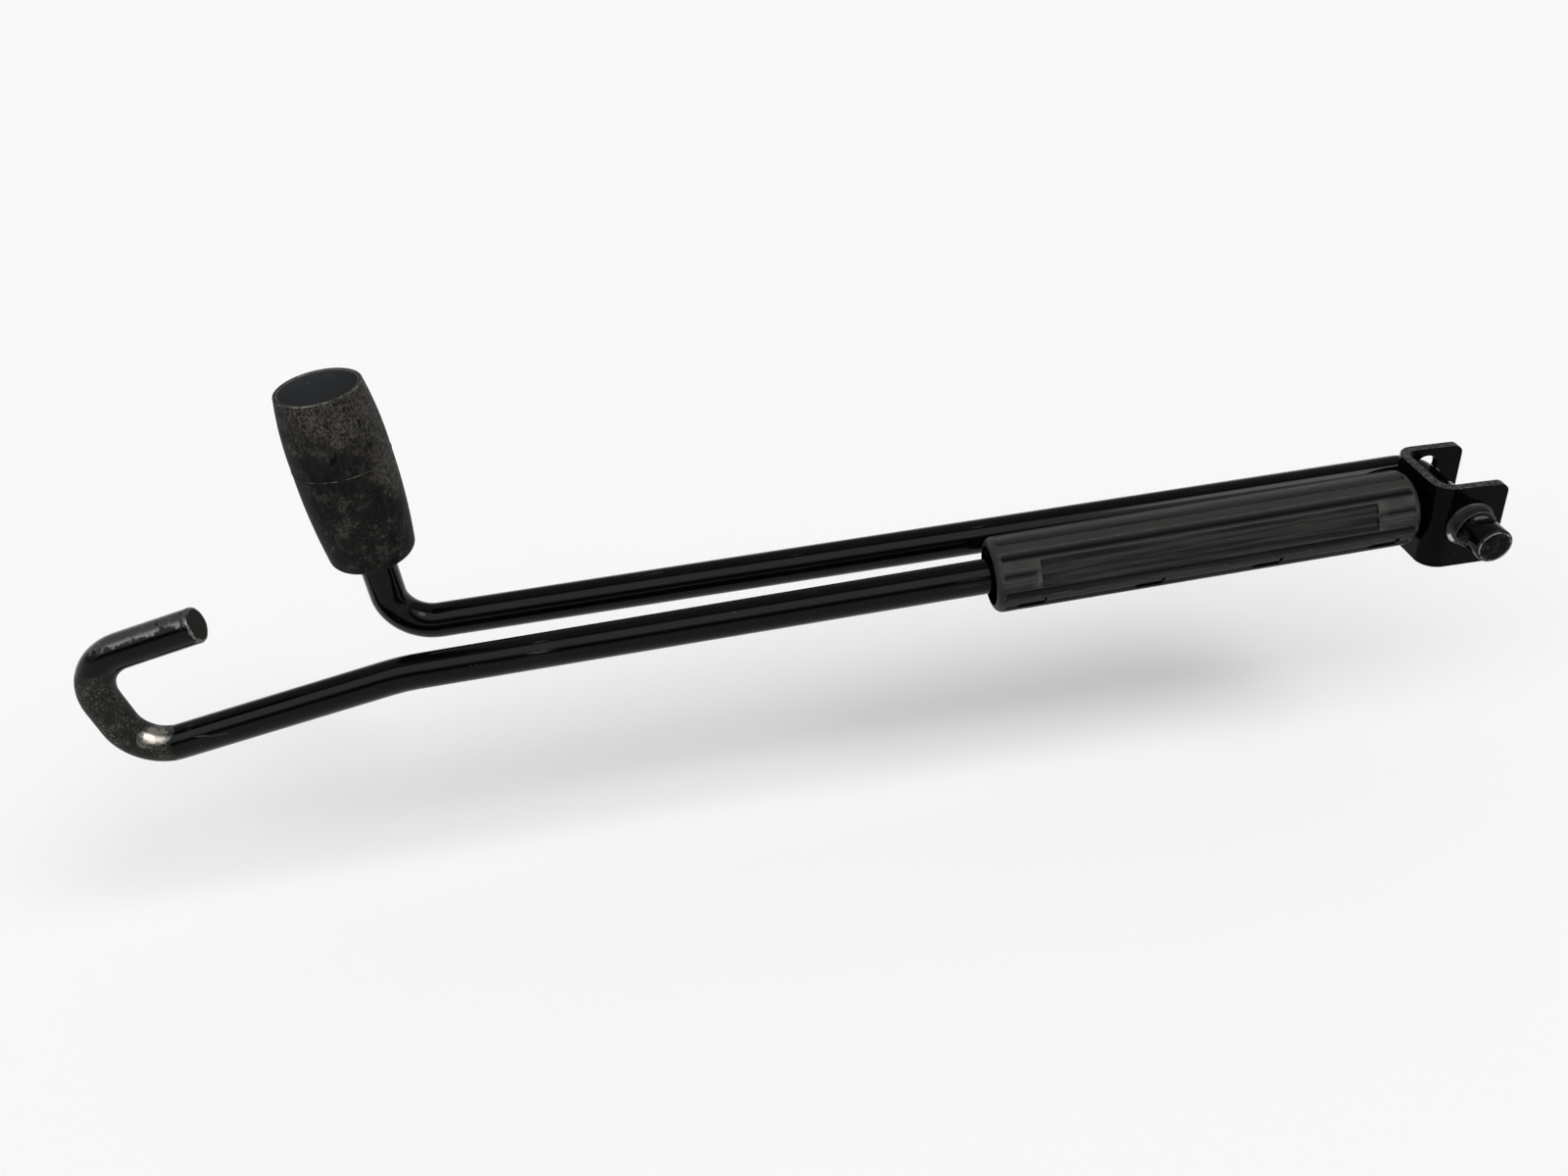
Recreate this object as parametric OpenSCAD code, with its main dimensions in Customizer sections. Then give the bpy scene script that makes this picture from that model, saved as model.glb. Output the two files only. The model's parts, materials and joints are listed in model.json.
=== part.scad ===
// Folding crank handle for a scissor jack.
// A hook rod carries a free-turning grip and a pressed clevis. A cranked arm swings
// in the clevis and carries a free-turning knob. Lengths are millimetres.
// X runs along the hook rod towards the clevis, Y along the pivot, Z up the knob.
// The origin is the centre of the hook's flat tip.

/* [Bar] */
// Diameter of the round bar that the hook rod and the crank arm are bent from
bar_d = 9; // [8:0.5:10]
// How much thinner the bar is where it is bent, on the radius
bend_neck = 0.02; // [0.01:0.01:0.05]

/* [Hook rod] */
// Distance from the pivot to the start of the joggle
joggle_start = 262; // [220:0.5:280]
// Bend radius at the joggle
joggle_r = 44; // [30:1:60]
// Angle at which the joggle drops the hook
joggle_angle = 9; // [6:0.5:12]
// Straight length between the joggle and the hook
slant_len = 55.3; // [45:0.1:70]
// Bend radius at the bottom of the hook
hook_bottom_r = 10.2; // [8:0.1:12]
// Straight length of the hook's back
hook_back_len = 6.8; // [5:0.1:16]
// Bend radius at the top of the hook
hook_top_r = 12.5; // [10:0.1:15]
// Angle of the bend at the top of the hook
hook_top_angle = 88.5; // [80:0.5:95]
// Straight length of the hook's tip
hook_tip_len = 19.6; // [12:0.1:24]

/* [Clevis] */
// Width over the outer faces of the two ears
clevis_w = 22.2; // [20:0.2:26]
// Thickness of the pressed plate
plate_t = 2.2; // [1.5:0.1:3]
// Distance from the pivot to the outer face of the web
web_x = 9.1; // [8.5:0.1:13]
// Distance from the pivot to the free edge of the ears
ear_x = 8.7; // [7:0.1:11]
// Outer radius where the ears turn out of the web
clevis_bend_r = 4.8; // [4:0.1:6]
// Height of the web above the pivot
web_top = 10.6; // [10:0.1:13]
// Height of the ears' free ends above the pivot
ear_top = 9.7; // [9:0.1:11]
// Depth of the web below the pivot
web_bottom = 12.4; // [10:0.1:13]
// Depth of the ears' free ends below the pivot
ear_bottom = 12.9; // [10:0.1:13.5]
// Radius of the ears' free corners
ear_corner_r = 2.4; // [2:0.1:4]
// Radius of the relief above the pivot hole in the rear ear
relief_r = 3; // [2.5:0.1:3.5]
// Height of the relief's centre above the pivot
relief_z = 5.1; // [4.5:0.1:5.5]
// Distance of the relief's centre from the pivot, towards the web
relief_x = 0.6; // [0:0.1:1.5]
// Diameter of the rod's end where it is riveted through the web
rivet_d = 6.6; // [5.5:0.1:7.5]
// Diameter of the headed-over end inside the clevis
rivet_head_d = 10; // [8.5:0.1:11]
// Height of the headed-over end
rivet_head_h = 1.8; // [1:0.1:2]

/* [Crank arm] */
// Distance from the pivot to the knob's axis
arm_len = 267.4; // [240:0.1:290]
// Bend radius at the pivot end
pivot_bend_r = 5; // [5:0.1:6]
// Bend radius below the knob
knob_bend_r = 10.5; // [9:0.1:12]
// How far the pivot end stands out of the front ear
pin_out = 11.4; // [10:0.1:14]
// Angle of the folded arm above the hook rod
rest_tilt = 0.75; // [0:0.05:1.5]
// Length of a pair of pinched lugs along the bar
lug_len = 3.2; // [2.5:0.1:4]
// Width over a pair of pinched lugs
lug_w = 12; // [11:0.2:12.4]
// Thickness of a lug
lug_t = 2.4; // [1.5:0.1:3]
// Radius of a lug's rounded outer face
lug_r = 1.9; // [1.6:0.1:2.4]
// Depth of the two dents that the pinching leaves
dent_depth = 1.1; // [0.5:0.1:1.5]
// Radius of the pinching tool that leaves the dents
dent_r = 3.5; // [2:0.1:5]
// Length of bar above the lugs inside the knob
leg_end = 1; // [0.5:0.1:3]

/* [Pivot collar and knob washer] */
// Length of the collar in front of the clevis
collar_len = 3.4; // [2:0.1:4]
// Diameter of the collar's rear rim
collar_d = 11.8; // [11:0.1:13]
// Diameter of the collar's front face
collar_front_d = 10.2; // [9.8:0.1:11]
// Thickness of the collar's rear rim
collar_rim = 0.8; // [0.5:0.1:1.2]
// Diameter of the washer inside the knob
washer_d = 14; // [12.5:0.1:15]
// Thickness of the washer inside the knob
washer_t = 1; // [0.6:0.1:1.5]

/* [Knob] */
// Height of the knob's foot above the arm's centre line
knob_start = 22; // [19:0.5:26]
// Length of the knob
knob_len = 45.4; // [42:0.1:52]
// Distance from the knob's foot to its parting line
knob_mid = 27; // [24:0.5:30]
// Diameter at the foot
knob_foot_d = 20.8; // [19:0.1:22]
// Diameter at the parting line
knob_mid_d = 23.3; // [22:0.1:26]
// Diameter at the rim
knob_rim_d = 19.6; // [18.5:0.1:21]
// How far each half bulges beyond a straight cone
knob_crown = 0.35; // [0.2:0.05:0.6]
// Radius of the foot's rounded edge
knob_foot_r = 2.4; // [1.5:0.1:3]
// Wall thickness at the rim
knob_rim_wall = 1; // [0.8:0.1:1.5]
// Depth of the hollow in the knob's top
hollow_depth = 23.4; // [20:0.1:25]
// Diameter of the hollow's floor
hollow_floor_d = 16; // [15.5:0.1:17]
// Diameter of the pocket in the foot that hides the lower lugs
foot_pocket_d = 13.6; // [13:0.1:15]
// Depth of that pocket
foot_pocket_h = 3.8; // [3:0.1:5]

/* [Grip] */
// Outer diameter of the grip
grip_d = 19.2; // [18.4:0.1:20]
// Length of the grip
grip_len = 107.3; // [95:0.1:120]
// Gap between the grip and the web
grip_gap = 1.6; // [0.4:0.1:3]
// Wall thickness of the shells
grip_wall = 2.3; // [2:0.1:2.6]
// Radius of the rounded ends
grip_end_r = 2; // [1:0.1:2.2]
// Diameter of the open mouth at each end
mouth_d = 11.2; // [10.6:0.1:13]
// Depth of the open mouth
mouth_len = 2.4; // [1.5:0.1:3]
// Thickness of the ribs that bear on the bar
rib_t = 2; // [1.5:0.1:2.4]
// Number of lengthwise grooves round the grip
groove_n = 12; // [8:2:16]
// Width of a groove at the surface
groove_w = 2.6; // [1.5:0.1:3]
// Depth of a groove
groove_depth = 0.75; // [0.4:0.05:1]
// Plain length at each end, past the grooves
groove_end = 1.4; // [0.8:0.1:3]
// Angle of the groove beside the label flat, up from the front
groove_phase = 27; // [26:0.5:28]
// Angle of the seam between the shells, up from the front
seam_angle = -48; // [-50:1:-46]
// Length of the flat for a label
flat_len = 85; // [60:1:90]
// Distance from the grip's left end to the flat
flat_start = 11; // [8:0.5:14]
// Distance of the flat from the grip's axis
flat_dist = 8.85; // [8.6:0.05:9]
// Angle of the flat, up from the front
flat_angle = 24.5; // [20:0.5:28]
// Number of snap tabs along the seam
tab_n = 4; // [3:1:5]
// Length of a snap tab
tab_len = 7; // [5:0.5:8]
// Distance from the grip's ends to the outer tabs
tab_inset = 5.1; // [4.9:0.1:7]
// How far a tab stands into the grip's hollow
tab_in = 0.8; // [0.5:0.1:1]
// How far a tab is let into the front shell's wall
tab_out = 0.7; // [0.4:0.1:0.9]
// Angle by which a tab reaches back under the rear shell
tab_root = 8; // [6:0.5:12]
// Upper angle of a snap window, up from the front
window_top = -17; // [-18:0.5:-15]
// Lower angle of a snap window, up from the front
window_bottom = -38; // [-39:0.5:-36]

/* [Fits] */
// Radial clearance of a bar that turns in a hole
run_gap = 0.08; // [0.03:0.01:0.1]
// Radial clearance of the riveted end in the web
rivet_gap = 0.05; // [0.02:0.01:0.1]
// Gap between pieces that move past each other
side_gap = 0.3; // [0.2:0.05:0.5]
// Gap between a lug and the piece that it holds
lug_gap = 0.05; // [0.02:0.01:0.2]
// Gap round a snap tab
snap_gap = 0.15; // [0.1:0.05:0.3]

/* [Hidden] */
$fn = 96;
cut = 1;
bend_lap = 0.5;
bar_r = bar_d / 2;
bore_r = bar_r + run_gap;
ear_out = clevis_w / 2;

// Centre line of the hook, summed from its bends to the flat tip
h0 = 180 + joggle_angle;
h1 = h0 - 90;
h2 = h1 - hook_top_angle;
function step_to(h, l) = [l * cos(h), l * sin(h)];
function turn_left(r, a, b) = r * [sin(b) - sin(a), cos(a) - cos(b)];
function turn_right(r, a, b) = r * [sin(a) - sin(b), cos(b) - cos(a)];
hook_tip = [-joggle_start, 0] + turn_left(joggle_r, 180, h0) + step_to(h0, slant_len)
    + turn_right(hook_bottom_r, h0, h1) + step_to(h1, hook_back_len)
    + turn_right(hook_top_r, h1, h2) + step_to(h2, hook_tip_len);

// Lengths along the crank arm
arm_y = ear_out + side_gap + bar_r;
pin_front = ear_out + pin_out;
collar_back = ear_out + side_gap;
pin_lug_at = collar_back + collar_len + lug_gap;
hollow_floor = knob_start + knob_len - hollow_depth;
washer_at = hollow_floor + side_gap;
top_lug_at = washer_at + washer_t + lug_gap;
foot_lug_at = knob_start + foot_pocket_h - side_gap - lug_len;
leg_top = top_lug_at + lug_len + leg_end;

// Stations along the grip, from its left end
grip_left = -web_x - grip_gap - grip_len;
cavity_r = grip_d / 2 - grip_wall;
tab_in_r = cavity_r - tab_in;
tab_out_r = cavity_r + tab_out;
tab_pitch = (grip_len - 2 * tab_inset - tab_len) / (tab_n - 1);
bearing_at = [mouth_len, grip_len - mouth_len - rib_t];
keeper_mid = tab_inset + tab_len + (tab_pitch - tab_len) / 2 + tab_pitch * floor((tab_n - 1) / 2);
keeper_at = [for (s = [-1, 1]) keeper_mid + s * (lug_len / 2 + side_gap + rib_t / 2) - rib_t / 2];
rib_at = [
    for (i = [0 : tab_n - 2])
        if (abs(tab_mid(i) - keeper_mid) > lug_len) tab_mid(i) - rib_t / 2
];
function tab_mid(i) = tab_inset + tab_len + (tab_pitch - tab_len) / 2 + tab_pitch * i;

// Shifts the pivot frame so that the hook's tip is the origin
module from_tip() {
    translate([-hook_tip.x, 0, -hook_tip.y])
        children();
}

// Straight bar along X from the local origin, then what follows it
module straight(l) {
    rotate([0, 90, 0])
        cylinder(h = l, r = bar_r);
    translate([l, 0, 0])
        children();
}

// Bend of radius r in the XZ plane, up for a positive angle, then what follows it.
// It runs half a degree into the straight bar at both ends.
module bend(r, a) {
    rotate([a < 0 ? 180 : 0, 0, 0])
        translate([0, 0, r])
            rotate([90, 0, 0])
                rotate([0, 0, -90 - bend_lap])
                    rotate_extrude(angle = abs(a) + 2 * bend_lap)
                        translate([r, 0])
                            circle(r = bar_r - bend_neck);
    translate([r * sin(abs(a)), 0, sign(a) * r * (1 - cos(a))])
        rotate([0, -a, 0])
            children();
}

// Pair of lugs pinched out of a bar along Z, out along X
module lugs() {
    for (s = [0, 180])
        rotate([0, 0, s])
            intersection() {
                translate([0, -lug_t / 2, 0])
                    cube([lug_w / 2, lug_t, lug_len]);
                translate([lug_w / 2 - lug_r, lug_t, lug_len / 2])
                    rotate([90, 0, 0])
                        union() {
                            cylinder(h = 2 * lug_t, r = lug_r);
                            translate([-lug_w, -lug_len, 0])
                                cube([lug_w, 2 * lug_len, 2 * lug_t]);
                        }
            }
}

// The two dents that the pinching tool leaves across the lugs
module dents() {
    for (s = [-1, 1])
        translate([-lug_w, s * (bar_r - dent_depth + dent_r), lug_len / 2])
            rotate([0, 90, 0])
                cylinder(h = 2 * lug_w, r = dent_r);
}

module hook_rod() {
    lug_x = grip_left + keeper_mid;
    color("#15161a")
        from_tip() {
            difference() {
                translate([-web_x, 0, 0])
                    rotate([0, 0, 180])
                        straight(joggle_start - web_x)
                            bend(joggle_r, -joggle_angle)
                                straight(slant_len)
                                    bend(hook_bottom_r, 90)
                                        straight(hook_back_len)
                                            bend(hook_top_r, hook_top_angle)
                                                straight(hook_tip_len);
                translate([lug_x - lug_len / 2, 0, 0])
                    rotate([0, 90, 0])
                        dents();
            }
            translate([lug_x - lug_len / 2, 0, 0])
                rotate([0, 90, 0])
                    lugs();
            translate([-web_x, 0, 0])
                rotate([0, 90, 0])
                    cylinder(h = plate_t + rivet_head_h / 2, d = rivet_d);
            translate([plate_t - web_x, 0, 0])
                rotate([0, 90, 0])
                    cylinder(h = rivet_head_h, d1 = rivet_head_d, d2 = rivet_d);
        }
}

// Side outline of the clevis, its top edge falling towards the ears' free ends
module clevis_side() {
    difference() {
        rotate([90, 0, 0])
            linear_extrude(height = clevis_w + 2 * cut, center = true)
                polygon([
                    [-web_x, -web_bottom], [ear_x, -ear_bottom], [ear_x, ear_top], [-web_x, web_top]
                ]);
        for (z = [-ear_bottom, ear_top])
            translate([ear_x - ear_corner_r, 0, z - sign(z) * ear_corner_r])
                rotate([90, 0, 0])
                    difference() {
                        translate([0, z > 0 ? 0 : -2 * ear_corner_r, -ear_out - cut])
                            cube([2 * ear_corner_r, 2 * ear_corner_r, clevis_w + 2 * cut]);
                        translate([0, 0, -ear_out - 2 * cut])
                            cylinder(h = clevis_w + 4 * cut, r = ear_corner_r);
                    }
    }
}

// Plan of the clevis: web, two bends and two ears
module clevis_plan(h) {
    r_in = clevis_bend_r - plate_t;
    translate([-web_x, clevis_bend_r - ear_out, -h])
        cube([plate_t, clevis_w - 2 * clevis_bend_r, 2 * h]);
    for (s = [-1, 1])
        translate([clevis_bend_r - web_x, s * (ear_out - clevis_bend_r), -h]) {
            intersection() {
                difference() {
                    cylinder(h = 2 * h, r = clevis_bend_r);
                    translate([0, 0, -cut])
                        cylinder(h = 2 * h + 2 * cut, r = r_in);
                }
                translate([-2 * clevis_bend_r, s > 0 ? 0 : -2 * clevis_bend_r, 0])
                    cube([2 * clevis_bend_r, 2 * clevis_bend_r, 2 * h]);
            }
            translate([0, s > 0 ? r_in : -clevis_bend_r, 0])
                cube([ear_x + web_x - clevis_bend_r, plate_t, 2 * h]);
        }
}

module hinge_bracket() {
    color("#131418")
        from_tip()
            difference() {
                intersection() {
                    clevis_plan(web_top + ear_bottom);
                    clevis_side();
                }
                rotate([90, 0, 0])
                    cylinder(h = clevis_w + 2 * cut, r = bore_r, center = true);
                translate([-relief_x, 0, relief_z])
                    rotate([-90, 0, 0])
                        cylinder(h = ear_out + cut, r = relief_r);
                translate([-web_x - cut, 0, 0])
                    rotate([0, 90, 0])
                        cylinder(h = plate_t + 2 * cut, r = rivet_d / 2 + rivet_gap);
            }
}

// Frame of the grip: Z along it from its left end, angles counted down from the front
module along_grip() {
    from_tip()
        translate([grip_left, 0, 0])
            rotate([-90, 0, 0])
                rotate([0, 90, 0])
                    children();
}

// Half profile of the grip wall, with its ribs that bear on the bar
module shell_profile() {
    module ring(from, l, r_from, r_to) {
        translate([r_from, from])
            square([r_to - r_from, l]);
    }
    difference() {
        ring(0, grip_len, bore_r, grip_d / 2);
        ring(-cut, mouth_len + cut, 0, mouth_d / 2);
        ring(grip_len - mouth_len, mouth_len + cut, 0, mouth_d / 2);
        difference() {
            ring(mouth_len + rib_t, grip_len - 2 * (mouth_len + rib_t), bore_r - cut, cavity_r);
            for (z = concat(rib_at, keeper_at))
                ring(z, rib_t, 0, cavity_r + cut);
        }
        for (z = [0, grip_len])
            translate([grip_d / 2 - grip_end_r, z == 0 ? grip_end_r : z - grip_end_r])
                difference() {
                    translate([0, z == 0 ? -2 * grip_end_r : 0])
                        square(2 * grip_end_r);
                    circle(r = grip_end_r);
                }
    }
}

// Sector of a ring between two angles up from the front
module sector(low, high, r_from, r_to, z, l) {
    rotate([0, 0, -high])
        rotate_extrude(angle = high - low)
            translate([r_from, z])
                square([r_to - r_from, l]);
}

// What is cut from both shells: the grooves and the label flat
module grip_cuts() {
    half_w = groove_w / 2 * (groove_depth + cut) / groove_depth;
    for (i = [0 : groove_n - 1])
        rotate([0, 0, -groove_phase - i * 360 / groove_n])
            translate([grip_d / 2, 0, groove_end])
                linear_extrude(height = grip_len - 2 * groove_end)
                    polygon([[-groove_depth, 0], [cut, -half_w], [cut, half_w]]);
    rotate([0, 0, -flat_angle])
        translate([flat_dist, -grip_d / 2, flat_start])
            cube([grip_d, grip_d, flat_len]);
}

// A window for each tab, and the channel under the wall that leads to it from the seam
module tab_slots() {
    for (i = [0 : tab_n - 1]) {
        z = tab_inset + i * tab_pitch;
        l = tab_len + 2 * snap_gap;
        sector(window_bottom, window_top, cavity_r - cut, grip_d, z, tab_len);
        sector(seam_angle - cut, window_bottom + cut, cavity_r - cut, tab_out_r + snap_gap, z - snap_gap, l);
    }
}

// Snap tabs of the rear shell, with a catch that fills each window
module tabs() {
    a_gap = snap_gap / cavity_r * 180 / PI;
    for (i = [0 : tab_n - 1]) {
        z = tab_inset + i * tab_pitch + snap_gap;
        l = tab_len - 2 * snap_gap;
        sector(seam_angle - tab_root, window_top - a_gap, tab_in_r, tab_out_r, z, l);
        sector(window_bottom + a_gap, window_top - 2 * a_gap, cavity_r, grip_d / 2 - groove_depth, z, l);
    }
}

module grip_front_shell() {
    color("#3c3c3b")
        along_grip()
            difference() {
                rotate([0, 0, -seam_angle - 180])
                    rotate_extrude(angle = 180)
                        shell_profile();
                grip_cuts();
                tab_slots();
            }
}

module grip_back_shell() {
    color("#3a3a39")
        along_grip() {
            difference() {
                rotate([0, 0, -seam_angle])
                    rotate_extrude(angle = 180)
                        shell_profile();
                grip_cuts();
            }
            tabs();
        }
}

// Frame of the folded arm, tilted about the pivot
module on_arm() {
    from_tip()
        rotate([0, rest_tilt, 0])
            children();
}

// Frame of the arm's knob leg, Z up from the arm's centre line
module on_leg() {
    on_arm()
        translate([-arm_len, arm_y, 0])
            children();
}

module crank_arm() {
    color("#15161a") {
        on_arm() {
            difference() {
                translate([0, -pin_front, 0])
                    rotate([-90, 0, 90])
                        straight(pin_front + arm_y - pivot_bend_r)
                            bend(pivot_bend_r, 90)
                                straight(arm_len - pivot_bend_r - knob_bend_r)
                                    rotate([90, 0, 0])
                                        bend(knob_bend_r, 90)
                                            straight(leg_top - knob_bend_r);
                translate([0, -pin_lug_at, 0])
                    rotate([90, 0, 0])
                        dents();
                translate([-arm_len, arm_y, top_lug_at])
                    dents();
                translate([-arm_len, arm_y, foot_lug_at])
                    dents();
            }
            translate([0, -pin_lug_at, 0])
                rotate([90, 0, 0])
                    lugs();
        }
        on_leg() {
            translate([0, 0, top_lug_at])
                lugs();
            translate([0, 0, foot_lug_at])
                lugs();
        }
    }
}

module pivot_collar() {
    swell = (collar_d - collar_front_d) / 2;
    color("#54534c")
        on_arm()
            translate([0, -collar_back, 0])
                rotate([90, 0, 0])
                    rotate_extrude()
                        difference() {
                            union() {
                                translate([bore_r, 0])
                                    square([collar_d / 2 - bore_r, collar_rim]);
                                translate([bore_r, 0])
                                    square([collar_front_d / 2 - bore_r, collar_len]);
                            }
                            translate([collar_front_d / 2 - swell / 2, collar_len - swell / 2])
                                difference() {
                                    square(swell);
                                    circle(r = swell / 2);
                                }
                        }
}

module knob_washer() {
    color("#6c6a64")
        on_leg()
            translate([0, 0, washer_at])
                difference() {
                    cylinder(h = washer_t, d = washer_d);
                    translate([0, 0, -cut])
                        cylinder(h = washer_t + 2 * cut, r = bore_r);
                }
}

// One crowned half of the knob, from r0 at z0 to r1 at z1, as a turned arc
module crowned_half(z0, z1, r0, r1) {
    chord = norm([r1 - r0, z1 - z0]);
    arc_r = chord * chord / (8 * knob_crown) + knob_crown / 2;
    mid = [(r0 + r1) / 2, (z0 + z1) / 2];
    inward = [-(z1 - z0), r1 - r0] / chord;
    centre = mid + inward * (arc_r - knob_crown);
    intersection() {
        translate(centre)
            circle(r = arc_r, $fn = 720);
        translate([0, z0])
            square([knob_mid_d, z1 - z0]);
    }
}

module crank_knob() {
    foot_in = knob_foot_d / 2 - knob_foot_r;
    color("#3f3c38")
        on_leg()
            translate([0, 0, knob_start])
                difference() {
                    rotate_extrude()
                        difference() {
                            union() {
                                crowned_half(0, knob_mid, knob_foot_d / 2, knob_mid_d / 2);
                                crowned_half(knob_mid, knob_len, knob_mid_d / 2, knob_rim_d / 2);
                            }
                            translate([foot_in, knob_foot_r])
                                difference() {
                                    translate([0, -2 * knob_foot_r])
                                        square(2 * knob_foot_r);
                                    circle(r = knob_foot_r);
                                }
                        }
                    translate([0, 0, -cut])
                        cylinder(h = knob_len, r = bore_r);
                    translate([0, 0, -cut])
                        cylinder(h = foot_pocket_h + cut, d = foot_pocket_d);
                    translate([0, 0, knob_len - hollow_depth])
                        cylinder(h = hollow_depth, d1 = hollow_floor_d, d2 = knob_rim_d - 2 * knob_rim_wall);
                    translate([0, 0, knob_len])
                        cylinder(h = cut, d = knob_rim_d);
                }
}

hook_rod();
hinge_bracket();
grip_front_shell();
grip_back_shell();
crank_arm();
pivot_collar();
knob_washer();
crank_knob();
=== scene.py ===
# %% [markdown]
# # A folding crank handle for a scissor jack
# The real thing is two bent steel bars, one pressed clevis and three mouldings. The bars are dipped in
# gloss black enamel, the clevis is black too, and the grip and the knob are matt black plastic. On a
# black object the shapes read only through reflections, so the work here goes into even surfaces,
# small rounded edges and the marks that use has left.

# %% Load the frame
import json
import math

import bmesh
import bpy
from mathutils import Matrix, Vector


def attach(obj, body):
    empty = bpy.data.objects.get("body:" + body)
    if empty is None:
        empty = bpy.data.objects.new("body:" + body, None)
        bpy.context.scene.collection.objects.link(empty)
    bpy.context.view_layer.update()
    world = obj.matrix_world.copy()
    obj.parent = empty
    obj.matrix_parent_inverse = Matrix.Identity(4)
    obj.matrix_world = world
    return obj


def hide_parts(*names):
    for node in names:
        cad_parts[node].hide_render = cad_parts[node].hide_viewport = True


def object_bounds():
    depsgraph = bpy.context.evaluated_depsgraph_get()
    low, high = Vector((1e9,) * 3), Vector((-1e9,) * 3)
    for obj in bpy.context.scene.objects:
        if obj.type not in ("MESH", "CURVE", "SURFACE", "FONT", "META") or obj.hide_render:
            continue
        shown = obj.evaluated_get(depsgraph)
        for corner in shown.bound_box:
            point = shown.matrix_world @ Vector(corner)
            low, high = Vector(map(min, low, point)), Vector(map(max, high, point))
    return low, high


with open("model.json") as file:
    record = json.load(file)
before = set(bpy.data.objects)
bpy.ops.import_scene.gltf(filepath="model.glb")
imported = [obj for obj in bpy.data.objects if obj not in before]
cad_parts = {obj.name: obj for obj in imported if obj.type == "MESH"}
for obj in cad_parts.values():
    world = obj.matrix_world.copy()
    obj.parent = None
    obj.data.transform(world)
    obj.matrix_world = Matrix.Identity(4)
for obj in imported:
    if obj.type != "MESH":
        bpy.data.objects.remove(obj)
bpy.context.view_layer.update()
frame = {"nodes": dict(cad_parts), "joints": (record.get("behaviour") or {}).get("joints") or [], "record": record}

print("CAD nodes:", sorted(frame["nodes"]))

# %% [markdown]
# ## Where things are
# Every place comes from the frame: the joints say where the pivot and the two turning axes lie, and the
# hook's mount says how thick the bar is. The sizes further down are the driving ones of the real object,
# in millimetres, because that is how a maker's drawing has them.

# %% Places from the frame
MM = 0.001
joints = {joint["name"]: joint for joint in frame["joints"]}
hook_mount = frame["record"]["mounts"][0]
PIVOT = Vector(joints["arm_swing"]["pos_m"])
LEG_POINT = Vector(joints["knob_spin"]["pos_m"])
LEG_UP = Vector(joints["knob_spin"]["axis"])
SKIN = 0.05 * MM
BAR_R = hook_mount["dims"]["r_mm"] * MM - SKIN
ACROSS = Vector((0, 1, 0))
UP = Vector((0, 0, 1))
REST_TILT = math.atan2(LEG_UP.x, LEG_UP.z)
ARM_DIR = Vector((-math.cos(REST_TILT), 0, math.sin(REST_TILT)))
ARM_Y = LEG_POINT.y
ARM_LEN = (LEG_POINT - PIVOT).dot(ARM_DIR)
print("arm length mm:", round(ARM_LEN / MM, 2), "bar radius mm:", round(BAR_R / MM, 2))

# %% [markdown]
# ## Materials
# Black paint and black plastic differ in how they shine, not in colour. Each effect that comes back is
# a node group with its own inputs: a fine grain for the bump, a grime mask for dust and smears, drawn-out
# streaks and wavy scuff lines, a mask of rubbed places that reads the attributes stored on the mesh, which
# also carry painted shade, sheen and highlights, and a mottling for a dusty or flecked skin, which on the
# crank bar's ends paints glints of light.

# %% Small helpers for node trees
def feed(tree, value, socket):
    """Links another socket to an input, or sets the input to a value."""
    if isinstance(value, bpy.types.NodeSocket):
        tree.links.new(value, socket)
    else:
        socket.default_value = value


def add_node(tree, kind, **values):
    """A node with some of its properties set and some of its inputs fed."""
    node = tree.nodes.new("ShaderNode" + kind)
    for key, value in values.items():
        name = key.replace("_", " ")
        if name in node.inputs.keys():
            feed(tree, value, node.inputs[name])
        else:
            setattr(node, key, value)
    return node


def group_inputs(name, **inputs):
    """A new shader node group: its tree, then a socket for each input. None makes it a vector."""
    tree = bpy.data.node_groups.new(name, "ShaderNodeTree")
    for key, value in inputs.items():
        kind = "NodeSocketVector" if value is None else "NodeSocketFloat"
        made = tree.interface.new_socket(name=key.replace("_", " "), in_out="INPUT", socket_type=kind)
        if value is not None:
            made.default_value = value
    start = tree.nodes.new("NodeGroupInput")
    return tree, *list(start.outputs)[:len(inputs)]


def group_outputs(tree, **outputs):
    """The node group with its outputs, each fed by a socket inside it."""
    for name in outputs:
        tree.interface.new_socket(name=name, in_out="OUTPUT", socket_type="NodeSocketFloat")
    end = tree.nodes.new("NodeGroupOutput")
    for name, socket in outputs.items():
        tree.links.new(socket, end.inputs[name])
    return tree


def place_group(tree, group, **values):
    """The outputs of the group as a node in a material, with its own input values."""
    return add_node(tree, "Group", node_tree=group, **values).outputs


def attribute(tree, name):
    """A mask that is stored on the mesh."""
    return add_node(tree, "Attribute", attribute_name=name).outputs["Fac"]


def between(tree, source, low, high):
    """Stretches the values between low and high to 0..1, with soft ends."""
    return add_node(tree, "MapRange", interpolation_type="SMOOTHSTEP",
                    Value=source, From_Min=low, From_Max=high).outputs["Result"]


def maths(tree, operation, a, b):
    """One sum of two sockets or numbers."""
    node = add_node(tree, "Math", operation=operation)
    feed(tree, a, node.inputs[0])
    feed(tree, b, node.inputs[1])
    return node.outputs[0]


def times(tree, a, b):
    """The product of two sockets or numbers."""
    return maths(tree, "MULTIPLY", a, b)


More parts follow.
